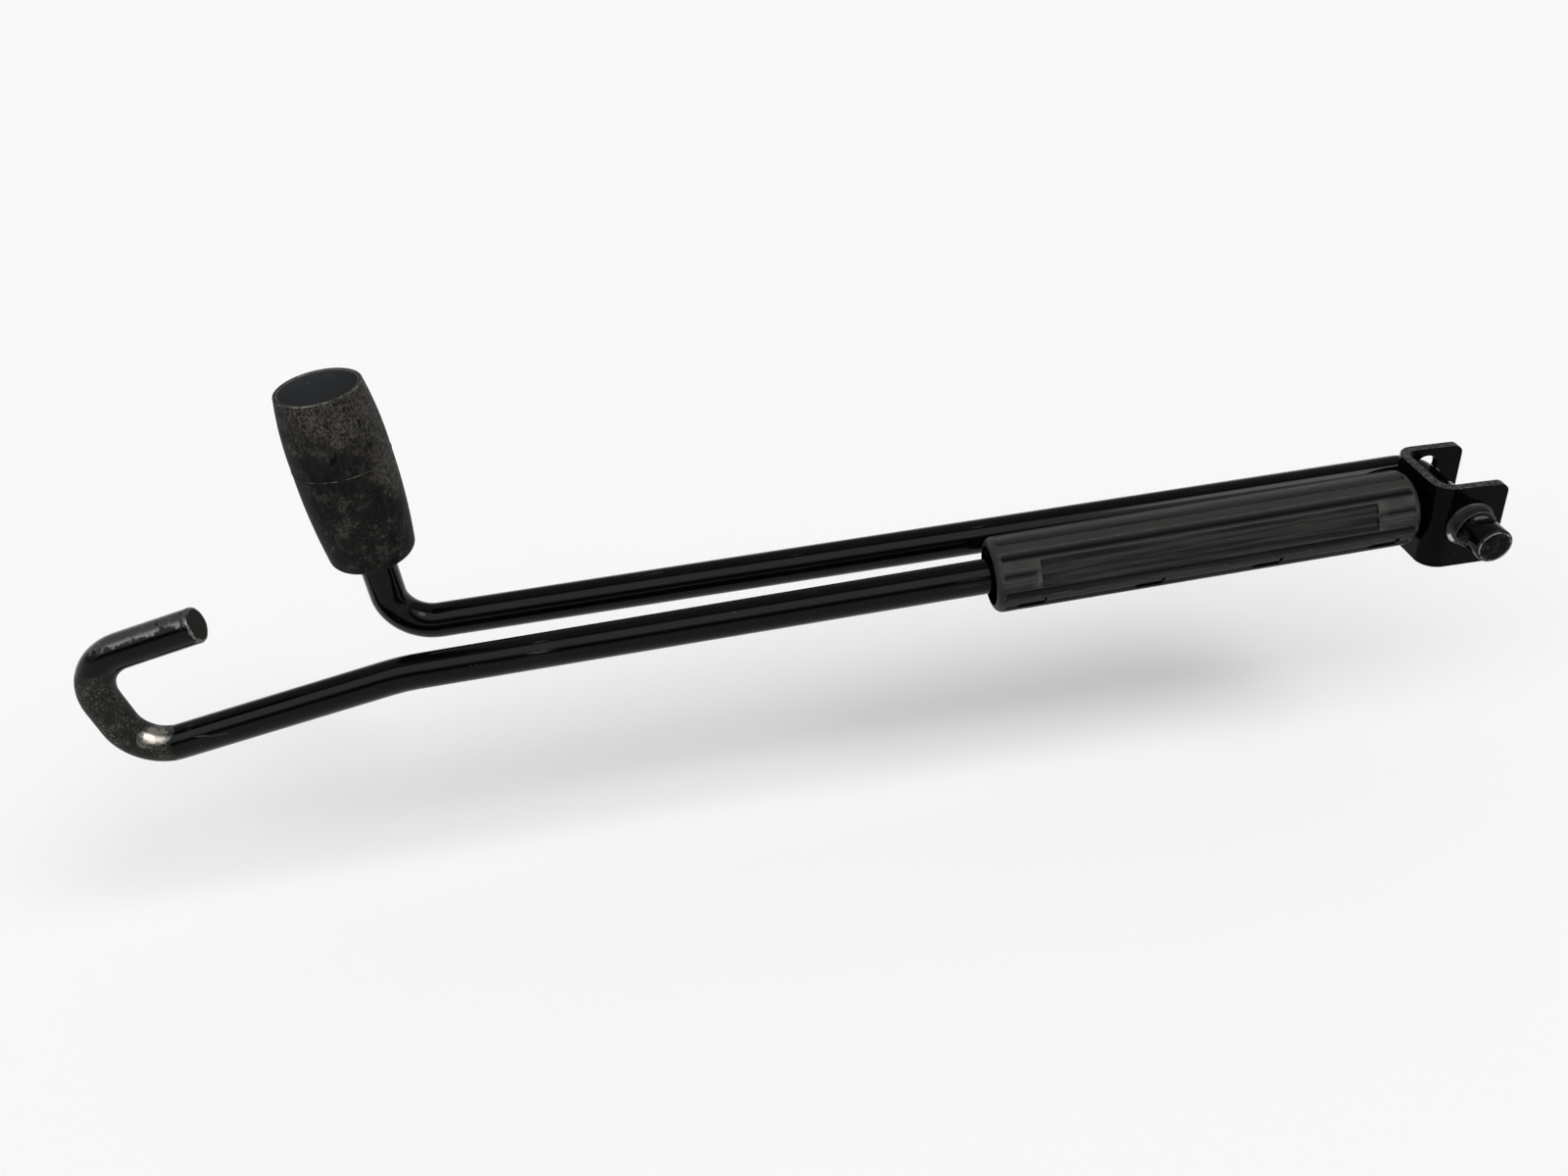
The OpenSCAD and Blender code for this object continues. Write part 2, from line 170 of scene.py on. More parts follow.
def mixed(tree, mask, below, above):
    """Colour or number above where the mask is 1, and below where it is 0."""
    is_colour = isinstance(above, tuple)
    node = add_node(tree, "Mix", data_type="RGBA" if is_colour else "FLOAT")
    first, second, out = (6, 7, 2) if is_colour else (2, 3, 0)
    for value, at in ((mask, 0), (below, first), (above, second)):
        feed(tree, (*value, 1.0) if isinstance(value, tuple) else value, node.inputs[at])
    return node.outputs[out]


def noise(tree, vector, scale, detail=2.0, roughness=0.5, distortion=0.0):
    """Noise on a coordinate."""
    return add_node(tree, "TexNoise", Vector=vector, Scale=scale, Detail=detail,
                    Roughness=roughness, Distortion=distortion).outputs["Fac"]


def ragged(tree, mask, texture, amount, low, high):
    """A mask cut off between two levels, its border broken up by a texture."""
    rough = times(tree, maths(tree, "SUBTRACT", texture, 0.5), amount)
    return between(tree, maths(tree, "ADD", mask, rough), low, high)


def stretched(tree, vector, scale, turn=(0.0, 0.0, 0.0)):
    """A coordinate that is turned and then squeezed, so that a pattern on it is drawn out."""
    return add_node(tree, "Mapping", Vector=vector, Rotation=turn, Scale=scale).outputs["Vector"]


# %% The shared effects
def grime_group():
    """Dust specks, soft smears and fine scratches, each a mask from 0 to 1."""
    tree, place, speck_share, smear_share = group_inputs(
        "grime", Vector=None, Speck_Share=0.1, Smear_Share=0.3)
    patches = noise(tree, place, 55.0, 4.0, 0.6)
    limit = maths(tree, "SUBTRACT", 0.78, speck_share)
    dots = between(tree, maths(tree, "SUBTRACT", noise(tree, place, 1400.0, 2.0, 0.6), limit), 0.0, 0.06)
    hair = noise(tree, stretched(tree, place, (0.06, 1.0, 1.0), (0.0, 0.35, 0.2)), 1100.0, 1.0)
    where = between(tree, patches, 0.5, 0.66)
    return group_outputs(
        tree,
        Specks=times(tree, dots, between(tree, patches, 0.42, 0.62)),
        Smears=times(tree, between(tree, patches, 0.45, 0.75), smear_share),
        Scratches=times(tree, between(tree, hair, 0.66, 0.72), where))


def grain_group():
    """The height of a moulded or painted skin: fine grain over slow waves."""
    tree, place, fine_scale, wave_share = group_inputs(
        "grain", Vector=None, Fine_Scale=2500.0, Wave_Share=0.3)
    fine = noise(tree, place, fine_scale, 3.0, 0.65)
    return group_outputs(tree, Height=mixed(tree, wave_share, fine, noise(tree, place, 260.0)))


def scuff_group():
    """Drawn-out streaks on a squeezed coordinate, and thin wavy lines like those of a rubbed skin."""
    tree, place, along, line_scale = group_inputs("scuffs", Vector=None, Along=None, Line_Scale=420.0)
    off = maths(tree, "SUBTRACT", noise(tree, place, line_scale, 4.0, 0.55, 1.6), 0.5)
    thin = maths(tree, "SUBTRACT", 1.0, between(tree, maths(tree, "ABSOLUTE", off, 0.0), 0.004, 0.03))
    where = between(tree, noise(tree, place, 90.0, 3.0, 0.6), 0.42, 0.66)
    streaks = between(tree, noise(tree, along, 900.0, 3.0, 0.6), 0.44, 0.68)
    return group_outputs(tree, Streaks=streaks, Lines=times(tree, thin, where))


def wear_and_sheen_group():
    """From the stored masks: light edges, matt paint, thin paint and bare metal, also used as a painted highlight.
    """
    tree, place, edge_share = group_inputs("rub_and_sheen", Vector=None, Edge_Share=0.5)
    broken = between(tree, noise(tree, place, 420.0, 4.0, 0.7), 0.42, 0.62)
    edges = times(tree, attribute(tree, "edge"), broken)
    rub_and_sheen = attribute(tree, "rub_and_sheen")
    dots = between(tree, noise(tree, place, 1700.0, 4.0, 0.8), 0.5, 0.62)
    where = between(tree, noise(tree, place, 300.0, 3.0, 0.6), 0.38, 0.6)
    return group_outputs(
        tree,
        Edges=times(tree, edges, edge_share),
        Dull=ragged(tree, attribute(tree, "matt_and_shade"), noise(tree, place, 420.0, 5.0, 0.65), 1.0, 0.35, 0.6),
        Thin=ragged(tree, rub_and_sheen, noise(tree, place, 500.0, 3.0, 0.6), 1.1, 0.26, 0.46),
        Bare=ragged(tree, rub_and_sheen, noise(tree, place, 900.0, 5.0, 0.7), 2.1, 0.66, 0.95),
        Specks=times(tree, dots, where))


def mottle_group():
    """Blotches broken up by a fine grain, and a few dark cracks that run the way the piece is drawn out."""
    tree, place, along, patch_scale = group_inputs("mottle", Vector=None, Along=None, Patch_Scale=110.0)
    # The rub mask lifts the blotches: on the knob that is dust near the rim and painted light toward the front
    # right.
    worn = times(tree, attribute(tree, "rub_and_sheen"), 0.30)
    pushed = maths(tree, "ADD", noise(tree, place, patch_scale, 6.0, 0.68), worn)
    fine = between(tree, noise(tree, place, 1350.0, 5.0, 0.85, 0.9), 0.46, 0.57)
    lift = maths(tree, "ADD", times(tree, fine, 0.92), 0.08)
    return group_outputs(
        tree,
        Blotches=times(tree, between(tree, pushed, 0.46, 0.72), lift),
        Cracks=between(tree, noise(tree, along, 480.0, 5.0, 0.65, 0.5), 0.60, 0.66))


GRIME = grime_group()
GRAIN = grain_group()
SCUFFS = scuff_group()
WEAR_AND_SHEEN = wear_and_sheen_group()
MOTTLE = mottle_group()
print("node groups:", [group.name for group in (GRIME, GRAIN, SCUFFS, WEAR_AND_SHEEN, MOTTLE)])

# %% A finish made of a base and the marks on it
ROUGHER = 0.25
SPECK_LIGHT = 1.8
CRACK_DARK = 0.3
MATT_ROUGH = 0.55
THIN_ROUGH = 0.3
EDGE_ROUGH = 0.5


def black_finish(name, base, rough, dust, edge_colour, specular=0.2, worn=None, mottle=None, groove_shade=None,
                 lift=None, speck=0.1, smear=0.3, edge=0.5, streak=0.0, line=0.0, line_scale=420.0,
                 along=(0.03, 1.0, 1.0), grain=2500.0, wave=0.3, bump=0.1, streak_bump=0.0,
                 depth=0.02 * MM):
    """A dark finish with dust, smears, scratches, streaks and rubbed edges.

    worn is (matt colour, speck colour, thin colour, bare colour), mottle is (blotch colour, patch scale),
    recess is the painted shade at the bottom of grooves, and lift the colour of dust and of a
    painted sheen of the light from above on the top."""
    material = bpy.data.materials.new(name)
    material.use_nodes = True
    tree = material.node_tree
    shader = tree.nodes["Principled BSDF"]
    place = add_node(tree, "TexCoord").outputs["Object"]
    drawn_out = stretched(tree, place, along)
    grime = place_group(tree, GRIME, Vector=place, Speck_Share=speck, Smear_Share=smear)
    grains = place_group(tree, GRAIN, Vector=place, Fine_Scale=grain, Wave_Share=wave)
    scuffs = place_group(tree, SCUFFS, Vector=place, Along=drawn_out, Line_Scale=line_scale)
    rub_and_sheen = place_group(tree, WEAR_AND_SHEEN, Vector=place, Edge_Share=edge)
    marks = maths(tree, "MAXIMUM", grime["Smears"], grime["Scratches"])
    for mark, share in ((scuffs["Streaks"], streak), (scuffs["Lines"], line)):
        marks = maths(tree, "MAXIMUM", marks, times(tree, mark, share))
    colour = base
    # Dust and painted sheen: where the rub mask is high, here the grip's top, the colour is lifted as the light
    # from above would.
    if lift:
        colour = mixed(tree, attribute(tree, "rub_and_sheen"), colour, lift)
    if mottle:
        blotches = place_group(tree, MOTTLE, Vector=place, Along=drawn_out, Patch_Scale=mottle[1])
        colour = mixed(tree, blotches["Blotches"], colour, mottle[0])
    colour = mixed(tree, marks, colour, dust)
    colour = mixed(tree, grime["Specks"], colour, tuple(min(1.0, SPECK_LIGHT * c) for c in dust))
    if mottle:
        colour = mixed(tree, blotches["Cracks"], colour, tuple(CRACK_DARK * c for c in base))
    # Painted shade: the recess colour darkens the bottoms of grooves, where shade falls.
    if groove_shade:
        colour = mixed(tree, attribute(tree, "matt_and_shade"), colour, groove_shade)
    shine = mixed(tree, marks, rough, min(1.0, rough + ROUGHER))
    streaks_up = times(tree, scuffs["Streaks"], streak_bump)
    height = maths(tree, "ADD", grains["Height"], streaks_up)
    if worn:
        speckled = times(tree, rub_and_sheen["Dull"], rub_and_sheen["Specks"])
        for mask, worn_colour in zip((rub_and_sheen["Dull"], speckled, rub_and_sheen["Thin"], rub_and_sheen["Bare"]), worn):
            colour = mixed(tree, mask, colour, worn_colour)
        shine = mixed(tree, rub_and_sheen["Thin"], mixed(tree, rub_and_sheen["Dull"], shine, MATT_ROUGH), THIN_ROUGH)
        tree.links.new(maths(tree, "MAXIMUM", rub_and_sheen["Bare"], rub_and_sheen["Thin"]), shader.inputs["Metallic"])
        height = maths(tree, "ADD", height, speckled)
    tree.links.new(mixed(tree, rub_and_sheen["Edges"], colour, edge_colour), shader.inputs["Base Color"])
    tree.links.new(mixed(tree, rub_and_sheen["Edges"], shine, EDGE_ROUGH), shader.inputs["Roughness"])
    shader.inputs["Specular IOR Level"].default_value = specular
    relief = add_node(tree, "Bump", Strength=bump, Distance=depth, Height=height)
    tree.links.new(relief.outputs["Normal"], shader.inputs["Normal"])
    return material


# %% The finishes of this handle
ENAMEL = black_finish(
    "gloss_enamel", (0.0009, 0.0010, 0.0013), 0.09, (0.022, 0.022, 0.021), (0.05, 0.048, 0.045),
    specular=0.125, speck=0.05, smear=0.03, edge=0.2, grain=900.0, wave=0.85, bump=0.03)
WORN_ENAMEL = black_finish(
    "worn_enamel", (0.0009, 0.0010, 0.0013), 0.10, (0.03, 0.03, 0.028), (0.20, 0.195, 0.185),
    specular=0.125, speck=0.08, smear=0.05, edge=0.6, grain=1100.0, wave=0.6, bump=0.2,
    worn=((0.0078, 0.0074, 0.0060), (0.072, 0.069, 0.059), (0.110, 0.110, 0.109), (0.40, 0.37, 0.325)))
CLEVIS_ENAMEL = black_finish(
    "clevis_enamel", (0.0012, 0.0012, 0.0014), 0.13, (0.03, 0.03, 0.028), (0.30, 0.295, 0.28),
    specular=0.045, speck=0.08, smear=0.03, edge=0.75, grain=1100.0, wave=0.6, bump=0.05)
CUT_EDGE = black_finish(
    "clevis_cut_edge", (0.0025, 0.0025, 0.0025), 0.36, (0.12, 0.117, 0.11), (0.34, 0.335, 0.32),
    specular=0.17, speck=0.12, smear=0.06, edge=1.0, streak=0.7, along=(1.5, 1.5, 1.5), grain=1300.0,
    wave=0.4, bump=0.8, streak_bump=1.0, depth=0.06 * MM)
SHEARED_END = black_finish(
    "sheared_end", (0.0085, 0.0085, 0.0065), 0.7, (0.014, 0.014, 0.011), (0.26, 0.25, 0.24),
    specular=0.08, speck=0.02, edge=0.95, grain=620.0, wave=0.75, bump=0.5, depth=0.05 * MM)
# Painted glints: the light blotches on the crank bar's ends stand for glints of light off lumpy paint.
PAINTED_END = black_finish(
    "painted_rough_end", (0.0012, 0.0012, 0.0012), 0.24, (0.010, 0.010, 0.009), (0.36, 0.35, 0.33),
    specular=0.04, mottle=((0.050, 0.050, 0.055), 620.0), speck=0.03, smear=0.05, edge=1.0, grain=560.0,
    wave=0.6, bump=1.0, depth=0.35 * MM)
# The grip is painted darker in its grooves, as shade, and lighter on top, as dust and the sheen of light from
# above.
GRIP_PLASTIC = black_finish(
    "grip_moulding", (0.0046, 0.0046, 0.0045), 0.42, (0.032, 0.032, 0.030), (0.055, 0.054, 0.051),
    specular=0.14, groove_shade=(0.0012, 0.0012, 0.0012), lift=(0.023, 0.023, 0.022), speck=0.06, smear=0.12,
    edge=0.9, streak=0.62, grain=3200.0, wave=0.25, bump=0.35, streak_bump=1.6)
KNOB_PLASTIC = black_finish(
    "knob_moulding", (0.0026, 0.0025, 0.0025), 0.6, (0.042, 0.040, 0.035), (0.13, 0.122, 0.108),
    specular=0.07, mottle=((0.056, 0.0525, 0.046), 170.0), speck=0.12, smear=0.04, edge=1.0, streak=0.1,
    line=0.4, line_scale=600.0, along=(1.0, 1.0, 0.16), grain=1500.0, wave=0.45, bump=0.9,
    streak_bump=0.5, depth=0.06 * MM)
# Painted light: the hollow's wall is the knob's plastic painted much lighter, for the light that falls inside.
HOLLOW_PAINTED_LIGHT = black_finish(
    "knob_hollow_painted_light", (0.038, 0.041, 0.044), 0.22, (0.06, 0.06, 0.058), (0.09, 0.088, 0.08),
    specular=0.5, speck=0.03, smear=0.1, edge=0.6, streak=0.12, along=(1.0, 1.0, 0.08), bump=0.05)
# On the collar, the thin and bare colours paint a highlight on the rim.
DULL_STEEL = black_finish(
    "dull_steel", (0.009, 0.0088, 0.008), 0.3, (0.028, 0.027, 0.024), (0.09, 0.087, 0.08),
    specular=0.3, worn=((0.02, 0.019, 0.016), (0.05, 0.047, 0.04), (0.12, 0.118, 0.11), (0.45, 0.44, 0.42)),
    speck=0.05, edge=0.3, grain=1700.0, wave=0.5, bump=0.2)
print("finishes:", [m.name for m in bpy.data.materials])

# %% [markdown]
# ## Finishing a piece
# A finished mesh needs three things before it can take its material: closed outward faces, smooth
# shading with crisp edges, and the edge mask. The mask is stored per vertex, so it stays with the
# mesh rather than in a trick of the renderer. Only outward edges get worn, so the bottoms of grooves
# stay clean.

# %% From bmesh to a finished piece
SHARP_FROM = math.radians(34)
EDGE_FROM = math.radians(20)
CLOSE = 1e-7


def made_mesh(bm, name):
    """The bmesh as a mesh of its own."""
    mesh = bpy.data.meshes.new(name)
    bm.to_mesh(mesh)
    bm.free()
    return mesh


def stand(name, data):
    """A new object in the scene."""
    made = bpy.data.objects.new(name, data)
    bpy.context.scene.collection.objects.link(made)
    return made


def mask_on(bm, name):
    """A mask on the bmesh's vertices, made if it isn't there."""
    layers = bm.verts.layers.float
    return layers.get(name) or layers.new(name)


def finish_piece(name, bm, body, node, materials, sharp=SHARP_FROM):
    """Closes a bmesh into an object that rides on its body and stands for its CAD node."""
    bmesh.ops.remove_doubles(bm, verts=bm.verts, dist=CLOSE)
    bmesh.ops.recalc_face_normals(bm, faces=bm.faces)
    outward = mask_on(bm, "edge")
    for stored_mask in ("rub_and_sheen", "matt_and_shade"):
        mask_on(bm, stored_mask)
    for edge in bm.edges:
        if len(edge.link_faces) == 2 and edge.calc_face_angle_signed(0.0) > EDGE_FROM:
            for vert in edge.verts:
                vert[outward] = 1.0
    for face in bm.faces:
        face.smooth = True
    open_edges = sum(1 for edge in bm.edges if len(edge.link_faces) != 2)
    mesh = made_mesh(bm, name)
    mesh.set_sharp_from_angle(angle=sharp)
    piece = stand(name, mesh)
    for material in materials:
        mesh.materials.append(material)
    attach(piece, body)
    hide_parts(node)
    print(name, "faces", len(mesh.polygons), "open edges", open_edges)
    return piece


# %% [markdown]
# ## Work that grows from one edge
# Round bar is bent cold round a former, and a clevis is folded from plate in the same way. Both are
# made here by one method: a ring or a line of edges is pushed along for a straight length and spun
# round a centre for a bend, so the section stays true and the bend radius is the former's own.

# %% Pushing and spinning edges
BEND_STEP = math.radians(4)
VERT, EDGE = bmesh.types.BMVert, bmesh.types.BMEdge


def only(kind, made):
    """The items of one kind in what an operation made."""
    return [item for item in made if isinstance(item, kind)]


def facing(at, heading):
    """The matrix that puts a shape at a place, its z axis along a heading."""
    return Matrix.Translation(at) @ Vector(heading).to_track_quat("Z", "Y").to_matrix().to_4x4()


class Drawn:
    """Edges that grow into a surface, from a place and in a heading."""

    def __init__(self, bm, edges, at, heading):
        self.bm = bm
        self.edges = list(edges)
        self.first = list(edges)
        self.at = Vector(at)
        self.heading = Vector(heading).normalized()

    def push(self, length, steps=1, grow=None):
        """A straight length in equal steps, its end scaled about the middle if grow is given."""
        for _ in range(steps):
            grown = bmesh.ops.extrude_edge_only(self.bm, edges=self.edges)["geom"]
            verts = only(VERT, grown)
            own = set(verts)
            self.edges = [edge for edge in only(EDGE, grown) if own.issuperset(edge.verts)]
            bmesh.ops.translate(self.bm, vec=self.heading * (length / steps), verts=verts)
        self.at = self.at + self.heading * length
        if grow is not None:
            bmesh.ops.scale(
                self.bm, vec=(grow, grow, grow), verts=verts, space=Matrix.Translation(-self.at))
        return self

    def bend(self, radius, degrees, towards):
        """A bend of the given radius, towards a direction across the heading."""
        towards = Vector(towards)
        towards = (towards - self.heading * towards.dot(self.heading)).normalized()
        centre = self.at + towards * radius
        axis = self.heading.cross(towards)
        angle = math.radians(degrees)
        verts = list({vert for edge in self.edges for vert in edge.verts})
        spun = bmesh.ops.spin(
            self.bm, geom=verts + self.edges, cent=centre, axis=axis, angle=angle,
            steps=max(2, round(angle / BEND_STEP)))
        self.edges = only(EDGE, spun["geom_last"])
        turn = Matrix.Rotation(angle, 3, axis)
        self.at = centre + turn @ (self.at - centre)
        self.heading = turn @ self.heading
        return self


# %% Round bar
BAR_SIDES = 64
END_INSET = 0.4 * MM


class Bar(Drawn):
    """Round bar that starts as a ring of edges."""

    def __init__(self, start, heading, radius):
        bm = bmesh.new()
        bmesh.ops.create_circle(bm, segments=BAR_SIDES, radius=radius, matrix=facing(start, heading))
        super().__init__(bm, bm.edges, start, heading)
        self.radius = radius
        self.pinches = []

    def step(self, length, radius):
        """A short length over which the bar changes to another radius."""
        self.push(length, 1, radius / self.radius)
        self.radius = radius
        return self

    def close(self):
        """Sheared flat ends, which take the piece's second material."""
        for ring in (self.first, self.edges):
            cap = bmesh.ops.contextual_create(self.bm, geom=ring)["faces"]
            rim = bmesh.ops.inset_region(
                self.bm, faces=cap, thickness=END_INSET, use_even_offset=True)["faces"]
            for face in cap + rim:
                face.material_index = 1


# %% [markdown]
# Collars and stops on such a handle are not separate parts: the bar is pinched in a press until two
# lugs stand out at its sides. On the mesh the rings there lie close together, and a smooth formula
# moves their vertices: in where the press's noses bit, out where the steel went.

# %% Pinched lugs
LUG_LEN = 3.2 * MM
LUG_OUT = 1.5 * MM
LUG_HALF_T = 1.25 * MM
DENT_DEPTH = 1.1 * MM
PINCH_RINGS = 26


def pinch(bm, centre, along, out):
    """Moves the vertices near a point of the bar: dents across, lugs out to both sides."""
    along = along.normalized()
    out = out.normalized()
    across = along.cross(out)
    for vert in bm.verts:
        arm = vert.co - centre
        s, u, v = arm.dot(along), arm.dot(out), arm.dot(across)
        if abs(s) > LUG_LEN or math.hypot(u, v) > 1.3 * BAR_R:
            continue
        dent = math.cos(min(1.0, abs(s) / (0.75 * LUG_LEN)) * math.pi / 2) ** 2
        lug = math.cos(min(1.0, abs(s) / (0.6 * LUG_LEN)) * math.pi / 2) ** 0.8
        narrow = math.exp(-((v / LUG_HALF_T) ** 4))
        top = BAR_R - DENT_DEPTH * dent
        v_new = math.copysign(min(abs(v), top), v)
        u_new = u + math.copysign(LUG_OUT * lug * narrow, u) if abs(u) > 0.3 * BAR_R else u
        vert.co = centre + along * s + out * u_new + across * v_new


def pinched_length(bar, places, out, total=0.0):
    """Straight bar with close rings at each pinch; places are distances along it to the lugs' middles.

    Without a total length it ends at its last pinch."""
    done = 0.0
    for place in places:
        run = place - LUG_LEN - done
        bar.push(run, max(1, round(run / (12 * MM))))
        bar.pinches.append((bar.at + bar.heading * LUG_LEN, bar.heading.copy(), out))
        bar.push(2 * LUG_LEN, PINCH_RINGS)
        done = place + LUG_LEN
    if total > done:
        bar.push(total - done, 2)


def finished(bar):
    """The bmesh of a bar, its ends closed and its lugs pinched."""
    bar.close()
    for place in bar.pinches:
        pinch(bar.bm, *place)
    print("the bar ends at", [round(c / MM, 2) for c in bar.at], "mm")
    return bar.bm


# %% [markdown]
# ## Hook rod
# The rod starts inside the clevis as a headed-over rivet, steps out to full bar behind the web, runs
# through the grip, drops at the joggle and turns back on itself in the hook. One bar does it all.

# %% Build the hook rod
WEB_X = 9.1 * MM
PLATE_T = 2.2 * MM
RIVET_R = 3.3 * MM
RIVET_HEAD_R = 5.0 * MM
RIVET_HEAD_H = 1.8 * MM
JOGGLE_START = 262 * MM
JOGGLE_R = 44 * MM
JOGGLE_DEG = 9
SLANT_LEN = 55.3 * MM
HOOK_BOTTOM_R = 10.2 * MM
HOOK_BACK_LEN = 6.8 * MM
HOOK_TOP_R = 12.5 * MM
HOOK_TOP_DEG = 88.5
HOOK_TIP_LEN = hook_mount["dims"]["length_mm"] * MM
HOOK_TIP_BACK = -Vector(hook_mount["axis"])
TIP_ROUND = 0.5 * MM
KEEPER_X = 64.35 * MM


def build_hook_rod():
    """The bar from its rivet head to the hook's flat tip."""
    head_top = PIVOT + Vector((-WEB_X + PLATE_T + RIVET_HEAD_H, 0, 0))
    bar = Bar(head_top, (-1, 0, 0), RIVET_R * 0.8)
    for height, width in ((0.25, 0.85), (0.35, 0.97), (0.4, 1.0)):
        bar.step(RIVET_HEAD_H * height, RIVET_HEAD_R * width)
    bar.step(0.02 * MM, RIVET_R)
    bar.push(PLATE_T - 0.04 * MM)
    bar.step(0.02 * MM, BAR_R)
    pinched_length(bar, [KEEPER_X - WEB_X], ACROSS, JOGGLE_START - WEB_X)
    bar.bend(JOGGLE_R, JOGGLE_DEG, -UP)
    bar.push(SLANT_LEN, 36)
    bar.bend(HOOK_BOTTOM_R, 90, UP)
    bar.push(HOOK_BACK_LEN, 8)
    bar.bend(HOOK_TOP_R, HOOK_TOP_DEG, (1, 0, 0))
    bar.push(HOOK_TIP_LEN - TIP_ROUND, 24)
    bar.step(TIP_ROUND * 0.5, BAR_R - TIP_ROUND * 0.25)
    bar.step(TIP_ROUND * 0.5, BAR_R - TIP_ROUND)
    return finished(bar)


# %% [markdown]
# The eye of the jack's screw rides inside the bottom bend of the hook, so the steel is bare there. The
# hook's back has gone matt and brown from handling and damp, and the top of its free end is rubbed in
# streaks. Two values on each vertex say how far this has got; the finish gives them ragged borders.

# %% Wear on the hook
EYE_RIDES = PIVOT + Vector((-328.0, -1.9, -4.7)) * MM
BARE_SQUASH = Vector((0.85, 1.0, 1.5))
MATT_FROM_X = PIVOT.x - 325.5 * MM
MATT_TO_Z = PIVOT.z + 16 * MM
LEG_MID_X = -14 * MM
LEG_LOW_Z = -6 * MM


def fade(value, start, end):
    """1 below start, 0 above end, a soft slope between."""
    t = max(0.0, min(1.0, (value - start) / (end - start)))
    return 1.0 - t * t * (3.0 - 2.0 * t)


def wear_hook(bm):
    """Bare metal in the bottom bend, matt paint round the back, streaks on top of the free end."""
    rub_and_sheen = mask_on(bm, "rub_and_sheen")
    matt_and_shade = mask_on(bm, "matt_and_shade")
    bm.normal_update()
    for vert in bm.verts:
        bare = 1.05 * fade(((vert.co - EYE_RIDES) * BARE_SQUASH).length, 1.4 * MM, 5.0 * MM)
        on_leg = fade(abs(vert.co.x - LEG_MID_X), 10 * MM, 16 * MM) if vert.co.z > LEG_LOW_Z else 0.0
        top = 0.50 * on_leg * fade(1 - vert.normal.z, 0.12, 0.62)
        rim = 0.62 * fade(vert.co.dot(HOOK_TIP_BACK), 0.2 * MM, 0.8 * MM) if on_leg else 0.0
        vert[rub_and_sheen] = max(bare, top, rim)
        behind = fade(vert.co.x, MATT_FROM_X - 2 * MM, MATT_FROM_X + 4 * MM)
        vert[matt_and_shade] = behind * fade(vert.co.z, MATT_TO_Z - 2 * MM, MATT_TO_Z + 3 * MM)


rod_bm = build_hook_rod()
wear_hook(rod_bm)
finish_piece("hook_bar", rod_bm, "frame", "hook_rod", [WORN_ENAMEL, SHEARED_END])

# %% [markdown]
# ## Crank arm
# The second bar is its own hinge pin: its plain end goes through the clevis's ears, and beyond them it
# turns along the rod, then up into the knob. It is built from the pin's free end, in the same way.

# %% Build the crank arm
EAR_OUT = 11.1 * MM
PIN_OUT = 11.4 * MM
PIVOT_BEND_R = 5 * MM
KNOB_BEND_R = 10.5 * MM
PIN_LUG_FROM = 14.85 * MM
FOOT_LUG_UP = 22.3 * MM
TOP_LUG_UP = 45.35 * MM
PIN_ROUND = 0.5 * MM
LEG_CHAMFER = 0.5 * MM


def build_crank_arm():
    """The bar from the pin's free end, through the ears, along the rod and up the knob's leg."""
    side = LEG_UP.cross(ACROSS)
    start = PIVOT - ACROSS * (EAR_OUT + PIN_OUT - SKIN / 2)
    bar = Bar(start, ACROSS, BAR_R - 0.45 * MM)
    bar.step(PIN_ROUND * 0.2, BAR_R - 0.2 * MM)
    bar.step(PIN_ROUND * 0.3, BAR_R - 0.06 * MM)
    bar.step(PIN_ROUND * 0.5, BAR_R)
    first = EAR_OUT + PIN_OUT - PIN_LUG_FROM - LUG_LEN / 2 - PIN_ROUND
    run = EAR_OUT + PIN_OUT + ARM_Y - PIVOT_BEND_R - PIN_ROUND
    pinched_length(bar, [first], side, run)
    bar.bend(PIVOT_BEND_R, 90, ARM_DIR)
    bar.push(ARM_LEN - PIVOT_BEND_R - KNOB_BEND_R, 28)
    bar.bend(KNOB_BEND_R, 90, LEG_UP)
    places = [up + LUG_LEN / 2 - KNOB_BEND_R for up in (FOOT_LUG_UP, TOP_LUG_UP)]
    pinched_length(bar, places, side)
    bar.step(LEG_CHAMFER, BAR_R - LEG_CHAMFER)
    return finished(bar)


finish_piece("crank_bar", build_crank_arm(), "crank", "crank_arm", [ENAMEL, PAINTED_END])

# %% [markdown]
# ## Clevis
# The clevis is one strip of plate, folded twice. An upright edge is pushed and spun into the folded
# strip, two planes trim it to its sloping outline, the free corners are rounded, and only then does
# the sheet get its thickness. Holes are cut last, because a drill also comes after the press. A small
# bevel all round stands for the rolled, painted edge, which is what catches the light.


# %% Cutting and rounding through modifiers
BEVEL_STEPS = 3
ROUND_FROM = math.radians(40)
HOLE_SIDES = 64


